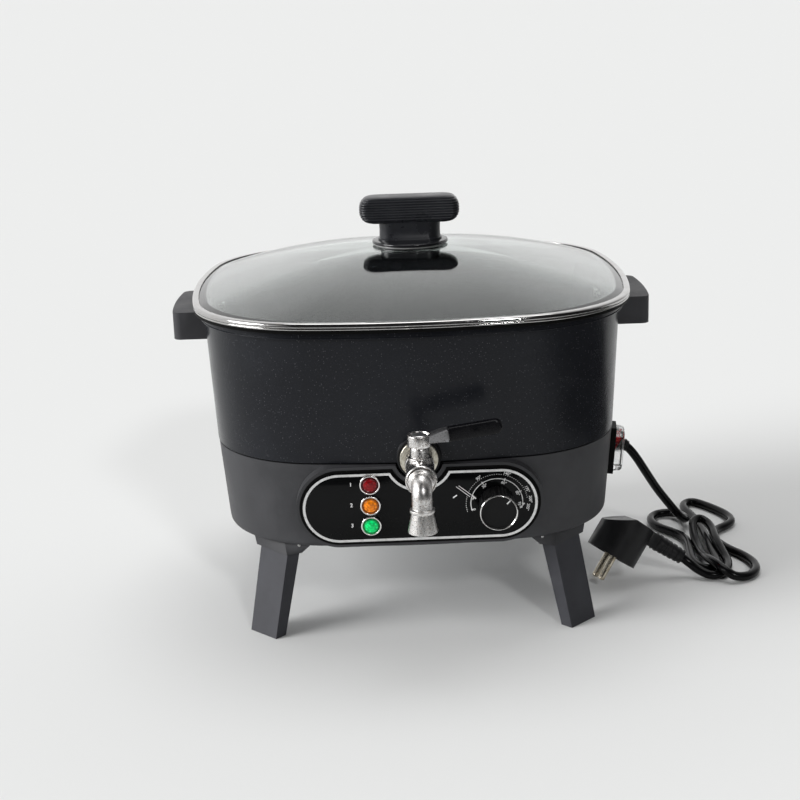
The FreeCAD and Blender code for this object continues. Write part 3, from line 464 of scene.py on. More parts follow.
# ---- legs ----
# Four splayed plastic legs, each held by its stub in a bracket under the shell.

leg_plastic = moulded("leg plastic", (0.05, 0.051, 0.058), 0.45, grain=0.3, dust=0.2, shine=0.15)
for corner in ("front_left", "front_right", "rear_left", "rear_right"):
    softened("splayed_leg_" + corner, "leg_" + corner, leg_plastic, "root", 1.0, 30.0, 3)
    softened("leg_bracket_" + corner, "leg_socket_" + corner, housing_plastic, "root",
             0.7, 30.0, 2)

head = rounded([(0, -0.6, 0), (1.15, -0.6, 0), (1.15, 0.3, 0.2), (0.6, 0.8, 0.4), (0, 0.85, 0)], 3)
SCREW_X, SCREW_Y, SCREW_Z, SCREW_SWING, SCREW_LEAN = 82.6, -122.0, 61.2, 19.5, 80.0
for name, direction in (("left", -1.0), ("right", 1.0)):
    axes = turn("Z", SCREW_SWING * direction) @ turn("X", SCREW_LEAN)
    piece("leg_screw_" + name, [lathed(head, ((SCREW_X * direction, SCREW_Y, SCREW_Z), axes), 24)],
          screw_steel, "root")

# ---- pot ----
# Die-cast pot with a thick collar, coated in a near-black non-stick finish with fine pale speckles.

# Centres of the rim's side, rear and corner arcs, and the headings where they meet
side = np.array((RIM_X - SIDE_R, 0.0))
rear = np.array((0.0, RIM_Y - SIDE_R))
half = (rear - side) / 2
reach = math.sqrt((SIDE_R - CORNER_R) ** 2 - half @ half)
corner = side + half + np.array((-half[1], half[0])) * reach / math.hypot(*half)
first = math.atan2(*(corner - side)[::-1])
last = math.atan2(*(corner - rear)[::-1])


def rim_arcs(per_side, per_corner):
    """Centre, radius and heading of points round the rim, on its eight tangent arcs, counter-clockwise."""
    half_turn = math.pi
    starts = np.array((-first, first, last, half_turn - last, half_turn - first, half_turn + first,
                       half_turn + last, 2 * half_turn - last, 2 * half_turn - first))
    centres = np.array((side, corner, rear, (-corner[0], corner[1])))
    centres = np.concatenate((centres, -centres))
    counts = [per_side, per_corner] * 4
    share = np.concatenate([np.arange(count) / count for count in counts])
    heading = np.repeat(starts[:-1], counts) + np.repeat(np.diff(starts), counts) * share
    return (np.repeat(centres, counts, axis=0), np.repeat([SIDE_R, CORNER_R] * 4, counts),
            np.column_stack((np.cos(heading), np.sin(heading))))


rim_centre, rim_radius, rim_heading = rim_arcs(22, 26)


def round_rim(levels):
    """Grid round the rim: (centre + (radius - inset) heading) scale, at each level (inset, z[, scale])."""
    levels = np.asarray(levels, float)
    inset, height = levels[:, :1], levels[:, 1:2]
    scale = levels[:, 2:3] if levels.shape[1] > 2 else 1.0
    reach = rim_radius - inset
    x = (rim_centre[:, 0] + reach * rim_heading[:, 0]) * scale
    y = (rim_centre[:, 1] + reach * rim_heading[:, 1]) * scale
    return np.stack((x, y, height + 0.0 * x), axis=-1)


# Random pale grains scattered in a coating
tree, takes, gives = effect("pale speckle", (("Spacing", 1.2), ("Share", 0.2)), ("Mask",))
cells = put(tree, "TexVoronoi", {"Vector": object_place(tree), "Scale": per_metre(tree, takes["Spacing"])})
chance = put(tree, "SeparateColor", {0: cells.outputs["Color"]}).outputs[0]
chosen = put(tree, "Math", {0: chance, 1: takes["Share"]}, operation="LESS_THAN").outputs[0]
dot = spread(tree, cells.outputs["Distance"], 0.16, 0.34, 1.0, 0.0)
join(tree, gives, Mask=product(tree, chosen, dot))
pale_speckle = tree

pot_coating = moulded("pot coating", (0.0115, 0.0125, 0.0155), 0.23, grain=0.9, depth=0.012, cloud=40.0,
                      change=0.05, dust=0.1, shine=0.16)
tree = pot_coating.node_tree
skin = tree.nodes["Principled BSDF"]
coat_colour = skin.inputs["Base Color"].links[0].from_socket
for spacing, share, strength in ((0.6, 0.4, 0.1), (1.1, 0.16, 0.35)):
    grains = put(tree, "Group", {"Spacing": spacing, "Share": share}, node_tree=pale_speckle).outputs[0]
    faint = spread(tree, grains, 0.0, 1.0, 0.0, strength)
    coat_colour = tint(tree, faint, coat_colour, (0.16, 0.16, 0.175, 1.0))
tree.links.new(coat_colour, skin.inputs["Base Color"])

POT_UNDERSIDE, POT_FLOOR, POT_RIM, FLAT_INSET = 108.0, 111.0, 213.8, 80.0
bowl = round_rim(rounded([
    (FLAT_INSET, POT_UNDERSIDE, 0), (15.5, POT_UNDERSIDE, 14), (15.5, SEAM_Z, 0), (11.7, SEAM_Z, 0.4),
    (11.7, 124.4, 0.3), (7.5, 208, 0.3), (4.8, 208.3, 0.3), (4.8, 208.9, 0.2), (5.3, 209.2, 0.2),
    (5.2, POT_RIM, 1), (10.5, POT_RIM, 0.8), (15, 126, 0), (18.5, POT_FLOOR, 11),
    (FLAT_INSET, POT_FLOOR, 0)], 8))
bowl = np.concatenate((pole(bowl, 0, 0, POT_UNDERSIDE), bowl, pole(bowl, 0, 0, POT_FLOOR)))

# The tap's bore runs along the local z of this frame, from the pot's axis outwards
TAP_HEIGHT = 127.0
TAP = (0.0, 0.0, TAP_HEIGHT), turn("X", 90.0)
boss = rounded([(0, 130, 0), (15, 130, 0), (15, 141, 0.8), (0, 141, 0)])
piece("pot", [woven(bowl), lathed(boss, TAP)], pot_coating, "root", ["wax_pot"], 30.0)

silicone = moulded("silicone", (0.003, 0.003, 0.003), 0.55, shine=0.05)
seal = rounded([(13, 122, 0.3), (13, SEAM_Z, 0.3), (15.5, SEAM_Z, 0.2), (15.5, 122, 0.2)], 3, True)
piece("seal", [woven(round_rim(seal), wrap_rows=True)], silicone, "root", ["pot_seal_ring"])

# ---- side handles ----
# Phenolic ears screwed to the pot under its collar.

black_plastic = moulded("black plastic", (0.013, 0.013, 0.0145), 0.34, grain=0.5, dust=0.15)
ear_plastic = moulded("ear plastic", (0.045, 0.045, 0.049), 0.5, grain=0.45, depth=0.04, dust=0.2)
for hand in ("left", "right"):
    softened("ear_" + hand, "side_handle_" + hand, ear_plastic, "root", 1.6, 35.0, 4)
softened("ear_screws", "handle_screws", screw_steel, "root", 0.5)

# ---- lid ----
# Dome of tempered glass, faintly green, whose edge is held in a rolled stainless band.

DOME_LOW, DOME_RISE, DOME_POWER, CROWN, GLASS = 218.0, 27.5, 1.85, 244.4, 4.0
EDGE_LOW, EDGE_INSET = 216.0, 2.0
lid_glass, tree, skin = principled("lid glass", Transmission_Weight=1.0, IOR=1.62)
film = noise(tree, object_place(tree), 30.0, Detail=5.0)
greenish = tint(tree, spread(tree, film, 0.3, 0.7), (0.9, 0.97, 0.94, 1.0), (0.93, 0.98, 0.96, 1.0))
join(tree, skin.inputs, Base_Color=greenish, Roughness=spread(tree, film, 0.45, 0.75, 0.0, 0.05))


def dome(scale):
    """Height of the glass where the rim outline is scaled by scale: low + rise (1 - scale ** power)."""
    return np.minimum(DOME_LOW + DOME_RISE * (1.0 - scale ** DOME_POWER), CROWN)


scale = np.concatenate((np.linspace(0.16, 0.9, 38), np.linspace(0.91, 0.998, 12)))
inset = np.full(len(scale), EDGE_INSET)
under = np.column_stack((inset, np.maximum(dome(scale) - GLASS, EDGE_LOW), scale * 0.985))
edge = np.array([(2.3, EDGE_LOW, 1.0), (EDGE_INSET, 216.3, 1.0), (EDGE_INSET, 217.6, 1.0)])
over = np.column_stack((inset, dome(scale), scale))[::-1]
shell = round_rim(np.concatenate((under, edge, over)))
shell = np.concatenate((pole(shell, 0, 0, CROWN - GLASS), shell, pole(shell, 0, 0, CROWN)))
piece("dome", [woven(shell)], lid_glass, "lid", ["lid_glass"], 60.0)

band_steel = metal("band steel", (0.5, 0.495, 0.49), (0.42, 0.4, 0.38), 0.07, 0.16, 8.0, 0.002, 0.5)
bead = rounded([(0.2, 215.2, 0.7), (0.2, 216.6, 0.5), (0.8, 216.65, 0.05), (0.8, 216.85, 0.05),
                (0, 216.9, 0.7), (0, 219.8, 1.8), (4.5, 219.8, 0.3), (4.5, 219, 0.1), (1.9, 218.6, 0.2),
                (1.9, 215.2, 0.1)], 7, True)
rivet = rounded([(0, -0.8, 0), (1.5, -0.8, 0), (1.5, 0.3, 0.2), (0.9, 1, 0.6), (0, 1.1, 0)], 3)
RIVET_X, RIVET_Z = 68.0, 217.6
rivet_at = (RIVET_X, SIDE_R - RIM_Y - math.sqrt(SIDE_R ** 2 - RIVET_X ** 2), RIVET_Z)
piece("edge_band", [woven(round_rim(bead), wrap_rows=True), lathed(rivet, (rivet_at, turn("X", 90.0)), 24)],
      band_steel, "lid", ["lid_band"], 50.0)
# Near-black silicone gasket over the pot's rim.  Its outer lip reaches down below the band, where it paints
# the shadow line under the band.
gasket_and_shadow_lip = rounded([(4.4, 213.85, 0.2), (4.4, 212.9, 0.3), (0.9, 212.9, 0.5), (0.5, 215.15, 0.1),
                  (2, 215.2, 0.05), (2, 215.9, 0.1), (12.6, 215.9, 0.4), (12.6, 208, 0.3),
                  (11.4, 208, 0.3), (11.4, 213.85, 0.2)], 4, True)
lid_rubber_and_shadow = moulded("lid rubber and painted shadow", (0.003, 0.003, 0.003), 0.5, grain=0.5, depth=0.01, dust=0.1, shine=0.05)
piece("lid_gasket_and_painted_shadow", [woven(round_rim(gasket_and_shadow_lip), wrap_rows=True)], lid_rubber_and_shadow, "lid")

# ---- lid handle ----
# Black moulded T handle on a round flange; fine ribs run round the bar for grip.

handle_gloss = moulded("handle gloss", (0.022, 0.023, 0.027), 0.33, grain=0.6, depth=0.01, dust=0.1,
                       shine=0.4)
flange_gloss = moulded("flange gloss", (0.012, 0.0125, 0.0145), 0.12, grain=2.0, depth=0.004, dust=0.1,
                       shine=0.5)
flange = rounded([(0, 245.2, 0), (26.6, 245.2, 0.2), (27.3, 245.6, 0.2), (27.3, 247.4, 0.9),
                  (23.4, 247.6, 0.3), (0, 247.6, 0)])
HANDLE_AT = (1.4, 0.0, 0.0)
piece("handle_flange", [lathed(flange, (HANDLE_AT,), 96)], flange_gloss, "lid",
      ["lid_handle_base"])
pale_seal = moulded("pale seal", (0.34, 0.34, 0.34), 0.4, grain=0.5, depth=0.01, dust=0.1, shine=0.4)
seal = rounded([(0, CROWN, 0), (26.3, CROWN, 0.2), (26, 245.3, 0.1), (0, 245.3, 0)])
piece("handle_seal", [lathed(seal, (HANDLE_AT,), 96)], pale_seal, "lid")


def bar_grid(heights, half_lengths, half_depths, corner_radius, steps=12):
    """Rows of rounded rectangles, one for each height, closed by a pole at both ends."""
    quarter = np.linspace(0.0, math.pi / 2, steps)
    t = np.concatenate([quarter + math.pi / 2 * k for k in range(4)])
    to_right = np.repeat((1, -1, -1, 1), steps)
    to_rear = np.repeat((1, 1, -1, -1), steps)
    x = corner_radius * np.cos(t) + to_right * (half_lengths[:, None] - corner_radius)
    y = corner_radius * np.sin(t) + to_rear * (half_depths[:, None] - corner_radius)
    rows = np.stack((x, y, heights[:, None] + 0.0 * x), axis=-1)
    return np.concatenate((pole(rows, 0, 0, heights[0]), rows, pole(rows, 0, 0, heights[-1])))


def round_over(half, radius, depth):
    """Half width at a depth below an edge of the given radius: half - radius + its quarter round."""
    return half - radius + np.sqrt(np.maximum(radius ** 2 - np.maximum(radius - depth, 0) ** 2, 0))


BAR_LOW, BAR_HIGH, BAR_HALF, BAR_DEPTH, BAR_ROUND, BAR_EDGE = 260.0, 279.0, 35.9, 10.5, 8.2, 2.6
RIB_PITCH, RIB_DEPTH, BAR_LEAST = 1.85, 0.6, 6.5
height = np.linspace(BAR_LOW, BAR_HIGH, 136)
from_end = np.minimum(height - BAR_LOW, BAR_HIGH - height)
wave = np.abs(np.sin(math.pi * (height - BAR_LOW) / RIB_PITCH)) ** 0.6
groove = RIB_DEPTH * (1.0 - wave) * (from_end > 1.7)
bar = bar_grid(height, np.maximum(round_over(BAR_HALF, BAR_ROUND, from_end) - groove, BAR_LEAST),
               np.maximum(round_over(BAR_DEPTH, BAR_EDGE, from_end) - groove, BAR_LEAST), 6.0)
rise = np.array((247.3, 248.6, 249.0, 255.0, 262.5))
swell = np.array((0.9, 0.9, 0.0, -0.2, 0.2))
stem = bar_grid(rise, 22.0 + swell, 9.5 + swell * 0.6, 9.4)
piece("t_handle", [woven(placed(bar, HANDLE_AT)), woven(placed(stem, HANDLE_AT))], handle_gloss, "lid",
      ["lid_handle"], 55.0)
softened("handle_washer", "lid_handle_washer", silicone, "lid", 0.3)
softened("handle_screw", "lid_handle_screw", screw_steel, "lid", 0.4)

# ---- tap ----
# Chrome-plated ball tap, stained and worn, drawn against the pot on a rubber and a steel washer.

PLATING, GRIME = (0.88, 0.87, 0.86), (0.42, 0.35, 0.29)
WEAR = {"size": 1.6, "depth": 0.015, "amount": 0.55, "scratch": 0.8, "pits": 0.8, "pit_size": 0.55}
chrome = metal("worn chrome", PLATING, GRIME, 0.2, 0.42, **WEAR)
spout_chrome = metal("spout chrome", PLATING, GRIME, 0.28, 0.46, **WEAR)
lever_steel = metal("lever steel", (0.4, 0.4, 0.41), (0.28, 0.27, 0.27), 0.34, 0.5, 2.0, 0.02, 0.7, 0.5, 0.4)
washer_steel = metal("washer steel", (0.72, 0.69, 0.6), (0.5, 0.46, 0.36), 0.3, 0.45, 2.0)
ring = rounded([(8.2, 141, 0), (14.5, 141, 0.8), (14.5, 144, 0.8), (8.2, 144, 0)], 5, True)
piece("rubber_washer", [lathed(ring, TAP, closed=True)], rubber, "root", ["tap_washer_rubber"])
ring = rounded([(8.2, 144, 0), (12.6, 144, 0.4), (12.6, 147, 0.5), (8.2, 147, 0)], 5, True)
piece("steel_washer", [lathed(ring, TAP, closed=True)], washer_steel, "root",
      ["tap_washer_steel"])
softened("inner_washer", "tap_washer_inner", silicone, "root", 0.3)
softened("hexagon_nut", "tap_nut", chrome, "root", 0.5)

barrel = rounded([(0, 118, 0), (8, 118, 0.5), (8, 147, 0), (9.5, 147, 0.4), (9.5, 162, 0.3),
                  (9.1, 162.6, 0.3), (9.1, 181, 0.3), (9.5, 181.6, 0.3), (9.5, 186, 0.4), (8, 186, 0),
                  (8, 188.9, 0), (0, 188.9, 0)])
bonnet = rounded([(0, 127, 0), (7.4, 127, 0), (7.4, 136.8, 0.6), (6.15, 137.4, 0.3), (6.15, 142.6, 0.3),
                  (5.6, 144, 0.2), (0, 144, 0)])
BALL_Y = -172.0
STEM_AXIS = ((0, BALL_Y, 0),)
piece("tap_barrel", [lathed(barrel, TAP), lathed(bonnet, STEM_AXIS)], chrome, "root", ["tap_body"])
nut = rounded([(8.1, 186, 0), (9.6, 186, 0.4), (10, 187.4, 0.4), (10, 191.2, 0.6), (9.3, 192.3, 0.3),
               (8.9, 191.6, 0.2), (8.9, 190, 0), (8.1, 190, 0)], 5, True)
piece("union_nut", [lathed(nut, TAP, closed=True)], chrome, "root", ["tap_spout_nut"])

BEND_R, SPOUT_Y, SPOUT_R = 8.0, -200.0, 6.4
bend = np.radians(np.linspace(0.0, 90.0, 13))
bend_y = SPOUT_Y + BEND_R - BEND_R * np.sin(bend)
bend_z = TAP_HEIGHT - BEND_R + BEND_R * np.cos(bend)
fall = rounded([(SPOUT_R, 118.9, 0), (SPOUT_R, 112.4, 0.5), (7.9, 111.8, 0.4), (7.9, 110.2, 0.4),
                (6.9, 109.6, 0.4), (9.5, 97, 0.3), (8.3, 97, 0.2), (4.8, 109, 1), (4.8, 116, 0),
                (0, 116, 0)], 4)
centre = np.concatenate((np.column_stack((bend_y, bend_z)),
                         np.column_stack((np.full(len(fall), SPOUT_Y), fall[:, 1]))))
radius = np.concatenate((np.full(len(bend), SPOUT_R), fall[:, 0]))
lean = np.concatenate((bend, np.full(len(fall), math.pi / 2)))
t = circle(64)
swan = np.stack((radius[:, None] * -np.cos(t),
                 centre[:, :1] - radius[:, None] * np.sin(t) * np.sin(lean)[:, None],
                 centre[:, 1:] + radius[:, None] * np.sin(t) * np.cos(lean)[:, None]), axis=-1)
swan = np.concatenate((pole(swan, 0.0, bend_y[0], bend_z[0]), swan))
face = rounded([(0, 190, 0), (8.3, 190, 0), (8.3, 193.6, 0.7), (6.9, 194.4, 0.4), (6.5, 195.2, 0.3),
                (0, 195.2, 0)])
piece("spout", [woven(swan[::-1]), lathed(face, TAP)], spout_chrome, "root", ["tap_spout"])

hub = rounded([(3.05, 144.3, 0), (7.75, 144.3, 0.5), (7.75, 152, 0.6), (6.3, 152, 0.3), (5.9, 150.4, 0.3),
               (3.05, 150.4, 0)], 5, True)
piece("lever_hub", [lathed(hub, STEM_AXIS, closed=True)], chrome, "tap_handle", ["tap_lever"])
stub = rounded([(5.6, 146.8, 0.3), (18.6, 147.4, 0.5), (18, 155.2, 0.5), (12.5, 153.9, 2),
                (5.6, 151.4, 0.3)], 4, True)
middle = np.array((12.0, 150.8))
slices = []
for aside, scale in ((-4.7, 0.0), (-4.7, 0.93), (-4.3, 1.0), (4.3, 1.0), (4.7, 0.93), (4.7, 0.0)):
    outline = middle + (stub - middle) * scale
    slices.append(np.column_stack((outline[:, 0], np.full(len(stub), BALL_Y + aside), outline[:, 1])))
stub = np.stack(slices)[::-1]
tang = bar_grid(np.array((-3.6, -3.4, 3.4, 3.6)), np.array((14.3, 14.5, 14.5, 14.3)), np.full(4, 1.2), 0.6)
tang = placed(tang + (13.5, 0, 0), (18.0, BALL_Y, 151.2), turn("Y", -8.0))
piece("lever_stub", [woven(stub), woven(tang)], lever_steel, "tap_handle", ["tap_lever"])
cap_steel = metal("cap steel", (0.86, 0.86, 0.86), (0.7, 0.69, 0.68), 0.3, 0.42, 1.5, 0.004, 0.5)
cap = rounded([(0, 150.4, 0), (4.9, 150.4, 0), (4.9, 151.3, 0.3), (4.2, 151.75, 0.4), (0, 151.85, 0)])
piece("lever_cap", [lathed(cap, STEM_AXIS)], cap_steel, "tap_handle", ["tap_cap_screw"])
refinished(chrome, "tap_ball", "tap_stem")
refinished(moulded("seat plastic", (0.8, 0.8, 0.78), 0.5), "tap_seats", "terminal_block")

vinyl = moulded("dipped vinyl", (0.004, 0.004, 0.005), 0.22, grain=1.2, depth=0.015, cloud=6.0, dust=0.1)
softened("lever_grip", "tap_grip", vinyl, "tap_handle", 0.3, 35.0, 2)

# ---- control panel ----
# Glossy black fascia with a printed silver outline, notched round the tap, with a thin near-black band round
# its edge.

PANEL_Y, PANEL_Z, PANEL_TURN = -141.2, 95.2, 90.0 + DRAFT
PANEL = (np.array((0.0, PANEL_Y, PANEL_Z)), turn("X", PANEL_TURN))
HALF_LENGTH, HALF_HEIGHT, DROP, PLATE, NOTCH_R = 78.3, 25.1, 1.7, 1.5, 20.6
NOTCH_Y = (TAP_HEIGHT - PANEL_Z) / math.cos(math.radians(DRAFT)) + DROP


def on_panel(x, y):
    """Point of the panel's seat, by its distance along the seat and up it."""
    return PANEL[0] + PANEL[1] @ np.array((x, y, 0.0))


def panel_outline(inset):
    """Closed outline of the fascia moved inwards: two half-round ends, and an arc scooped round the tap."""
    round_r = HALF_HEIGHT - inset
    notch = NOTCH_R + inset
    straight = HALF_LENGTH - HALF_HEIGHT
    notch_x = math.sqrt(notch ** 2 - (NOTCH_Y - round_r) ** 2)
    swing = math.asin(notch_x / notch)
    ends = np.linspace(math.pi / 2, -math.pi / 2, 40)
    scoop = np.linspace(swing, -swing, 32)[1:-1]
    right = np.column_stack((straight + round_r * np.cos(ends), round_r * np.sin(ends)))
    left = np.column_stack((-straight - round_r * np.cos(ends), -round_r * np.sin(ends)))
    middle = np.column_stack((notch * np.sin(-scoop), NOTCH_Y - notch * np.cos(scoop)))
    loop = np.concatenate(([(notch_x, round_r)], right, left, [(-notch_x, round_r)], middle))
    return loop[::-1] - (0.0, DROP)


def panel_levels(levels):
    """Rows of the fascia's outline, one for each (inset, height)."""
    return np.stack([flat_row(panel_outline(inset), height) for inset, height in levels])


panel_gloss = moulded("panel gloss", (0.0035, 0.0037, 0.004), 0.1, grain=3.0, depth=0.004, cloud=30.0,
                      change=0.03, dust=0.06, shine=0.12)
silver_print = metal("silver print", (0.8, 0.8, 0.8), (0.68, 0.68, 0.68), 0.4, 0.5, 3.0)
white_print = moulded("white print", (0.85, 0.85, 0.85), 0.5, grain=0.2, depth=0.004, dust=0.0)
rows = panel_levels([(0.0, 0.0), (0.0, 1.1), (0.12, 1.38), (0.4, PLATE)])
fascia = np.concatenate((pole(rows, 0, 0, 0), rows, pole(rows, 0, 0, PLATE)))
piece("fascia", [woven(placed(fascia, *PANEL))], panel_gloss, "root", ["panel_plate"], 30.0)
trim = panel_levels([(0.7, 1.45), (0.7, 1.58), (2.4, 1.58), (2.4, 1.45)])
piece("fascia_outline", [woven(placed(trim, *PANEL), wrap_rows=True)], silver_print, "root", (),
      30.0)
# Thin near-black band round the fascia's edge, darker than the seat beside it.
seal = panel_levels([(-1.5, -0.2), (-1.5, 0.45), (-1.1, 0.7), (0.3, 0.7), (0.3, -0.2)])
piece("fascia_dark_edge", [woven(placed(seal, *PANEL), wrap_rows=True)], silicone, "root", (), 30.0)

# ---- indicator lamps ----
# Three panel lamps: a plated bezel round a domed lens of ribbed coloured plastic.

bezel_chrome = metal("bezel chrome", (0.82, 0.81, 0.8), (0.66, 0.64, 0.62), 0.12, 0.25, 3.0, 0.002)
LAMP_X = -32.9


def lens_plastic(name, colour, glow, middle):
    """Ribbed lens: bright cells, darker from 3.8 mm outwards, under a clear coat, with a faint own light."""
    material = moulded(name, colour, 0.2, grain=1.3, depth=0.2, cloud=2.0, change=0.05, dust=0.0,
                       Coat_Weight=0.15, Coat_Roughness=0.05, Emission_Strength=glow)
    tree = material.node_tree
    skin = tree.nodes["Principled BSDF"]
    place = put(tree, "Mapping", {"Vector": object_place(tree), "Location": at(middle),
                                  "Rotation": (math.radians(PANEL_TURN), 0.0, 0.0)},
                vector_type="TEXTURE").outputs[0]
    flat = put(tree, "VectorMath", {0: place, 1: (1.0, 1.0, 0.0)}, operation="MULTIPLY").outputs[0]
    radius = put(tree, "VectorMath", {0: flat}, operation="LENGTH").outputs["Value"]
    cells = put(tree, "TexVoronoi", {"Vector": flat, "Scale": 620.0}).outputs["Distance"]
    facets = spread(tree, cells, 0.1, 0.75, 1.0, 0.35)
    shade = product(tree, facets, spread(tree, radius, 0.0038, 0.0049, 1.0, 0.12))
    base = np.array(colour)
    value = tint(tree, shade, (*(base * 0.12), 1.0), (*np.minimum(base * 1.5, 1.0), 1.0))
    join(tree, skin.inputs, Base_Color=value, Emission_Color=value)
    return material


bezel = rounded([(4.9, 1.4, 0), (6.8, 1.4, 0.1), (6.8, 3.7, 0.5), (5.9, 3.7, 0.3), (5.1, 2.7, 0.2),
                 (4.9, 1.8, 0)], 5, True)
lens = rounded([(0, 1.6, 0), (5.2, 1.6, 0), (5.2, 2.9, 0.2), (4.6, 3, 0.2), (4.3, 4, 0.5),
                (2.2, 4.7, 2), (0, 4.9, 0)], 5)
LAMPS = (("top", "red", 15.3, (0.17, 0.004, 0.006), 0.25),
         ("middle", "amber", 0.5, (0.6, 0.16, 0.006), 0.35),
         ("bottom", "green", -14.2, (0.002, 0.5, 0.12), 0.5))
for where, colour, height, value, glow in LAMPS:
    middle = on_panel(LAMP_X, height)
    piece("bezel_" + where, [lathed(bezel, (middle, PANEL[1]), closed=True)], bezel_chrome, "root",
          ["lamp_bezel_" + where])
    piece("lens_" + colour, [lathed(lens, (middle, PANEL[1]), 48)],
          lens_plastic("lens " + colour, value, glow, middle), "root", ["lamp_" + colour])

# ---- temperature knob and dial ----
# Black knob with finger flutes and a plated ring round its recessed face, over a printed dial.

KNOB_X, KNOB_Y, KNOB_FOOT = 50.5, -0.6, 2.1
KNOB = on_panel(KNOB_X, KNOB_Y), PANEL[1]
side_profile = rounded([(9, KNOB_FOOT, 0), (12, KNOB_FOOT, 0.6), (12.1, 18.4, 0.2), (11.2, 18.6, 0.1),
                        (11.2, 18, 0.2), (0, 18, 0)], 4)
flute = 0.55 * np.abs(np.sin(12.0 * circle(240))) ** 3 * (side_profile[:, :1] > 11.5)
skirt = turned(side_profile, 240, flute)
skirt = np.concatenate((pole(skirt, 0, 0, KNOB_FOOT), skirt))
knob_plastic = moulded("knob plastic", (0.006, 0.006, 0.0065), 0.36, grain=0.6, depth=0.015, cloud=8.0,
                       dust=0.3, shine=0.15)
piece("knob_body", [woven(placed(skirt, *KNOB))], knob_plastic, "thermostat_knob", ["knob"])
ring = rounded([(11.25, 18, 0.1), (12.2, 18, 0.2), (12.45, 19.5, 0.4), (11.9, 20, 0.2),
                (11.4, 19.4, 0.1)], 4, True)
piece("knob_trim", [lathed(ring, KNOB, 96, True)], bezel_chrome, "thermostat_knob", ["knob_ring"])


def with_ends(rows):
    """Rows with a pole at the middle of the first one and of the last one."""
    ends = rows.mean(axis=1, keepdims=True) + 0.0 * rows
    return np.concatenate((ends[:1], rows, ends[-1:]))


def strip(start, end, width, low, high):
    """Thin printed bar from start to end in the plan of a frame, as a closed box grid."""
    start, end = np.array(start, float), np.array(end, float)
    ahead = (end - start) / np.linalg.norm(end - start)
    aside = np.array((-ahead[1], ahead[0])) * width / 2
    ring = np.array((start - aside, end - aside, end + aside, start + aside))
    return with_ends(np.stack([flat_row(ring, low), flat_row(ring, high)]))


def polar(angle, radius):
    """Point at an angle clockwise from the top of the dial, in degrees."""
    return radius * math.sin(math.radians(angle)), radius * math.cos(math.radians(angle))


pointer = strip(polar(44, 7.6), polar(44, 11.1), 0.9, 17.9, 18.15)
piece("knob_pointer", [woven(placed(pointer, *KNOB))], white_print, "thermostat_knob")

INK_LOW, INK_HIGH, DIAL_Y = 1.48, 1.56, -1.2
DIAL = on_panel(KNOB_X, DIAL_Y), PANEL[1]
arc = np.radians(np.linspace(-108.0, 104.0, 120))
arc = np.column_stack((np.sin(arc), np.cos(arc)))
band = ((16.9, INK_LOW), (16.9, INK_HIGH), (17.4, INK_HIGH), (17.4, INK_LOW))
arc_rows = with_ends(np.stack([flat_row(radius * arc, height) for radius, height in band], 1))[::-1]
marks = [woven(placed(arc_rows, *DIAL))]
dots = [((angle, 20.0), (angle, 20.5), 0.4) for angle in np.arange(-106.0, 84.0, 4.25)]
STROKES = (((-33, 15.9), (-33, 18.2), 0.6), ((18, 16.0), (18, 18.2), 0.6), ((64, 16.0), (64, 18.2), 0.6),
           ((94, 16.6), (94, 18.6), 0.7), ((94, 18.4), (104, 16.2), 0.6), ((104, 17.2), (106, 15.8), 0.6),
           ((-62.4, 28.2), (-71.2, 16.6), 0.4), ((-65.0, 29.4), (-74.5, 18.3), 0.4),
           ((-70.6, 17.0), (-76.3, 14.2), 1.0), ((-80.0, 16.2), (-71.0, 15.6), 0.8),
           ((-81.0, 29.2), (-76.3, 27.0), 0.8), ((-104, 17.6), (-106, 16.0), 0.8))
for start, end, width in (*dots, *STROKES):
    marks.append(woven(placed(strip(polar(*start), polar(*end), width, INK_LOW, INK_HIGH), *DIAL)))
piece("dial_scale", marks, white_print, "root")


def printed(name, text, x, y, size, tilt=0.0):
    """Plain figures laid on the fascia, made a mesh before they are put in place."""
    letters = bpy.data.curves.new(name, "FONT")
    letters.body = text
    letters.size = size
    letters.align_x = "CENTER"
    letters.align_y = "CENTER"
    letters.extrude = 0.04
    letters.offset = 0.05
    flat = linked(name + "_outline", letters)
    bpy.context.view_layer.update()
    mesh = bpy.data.meshes.new_from_object(flat.evaluated_get(bpy.context.evaluated_depsgraph_get()))
    bpy.data.objects.remove(flat)
    points = np.empty(len(mesh.vertices) * 3)
    mesh.vertices.foreach_get("co", points)
    local = points.reshape(-1, 3) @ turn("Z", -tilt).T + (x, y, FIGURE_Z)
    mesh.vertices.foreach_set("co", at(placed(local, *PANEL)).ravel())
    mesh.name = name
    declared(linked(name, mesh), white_print, "root", ())


FIGURE_Z, DIAL_FIGURE, LAMP_FIGURE, LAMP_FIGURE_ASIDE = 1.53, 2.7, 3.8, 12.5
FIGURES = ((-33, 14.5, "30°"), (19, 14.7, "60°"), (66, 15.0, "80°"), (97, 14.9, "95°"), (-106, 15.4, "0"),
           (-33, 21.6, "90°"), (18.7, 21.6, "140°"), (66, 21.9, "175°"), (86, 22.3, "200°"),
           (101, 20.9, "205°"))
for number, (angle, radius, figure) in enumerate(FIGURES, 1):
    x, y = polar(angle, radius)
    printed(f"dial_figure_{number}", figure, KNOB_X + x, y + DIAL_Y, DIAL_FIGURE, angle)
for number, (where, colour, height, value, glow) in enumerate(LAMPS, 1):
    printed("lamp_figure_" + colour, str(number), LAMP_X - LAMP_FIGURE_ASIDE, height, LAMP_FIGURE)

# ---- side switch ----
# Red rocker in a black snap-in frame under a soft clear cover.

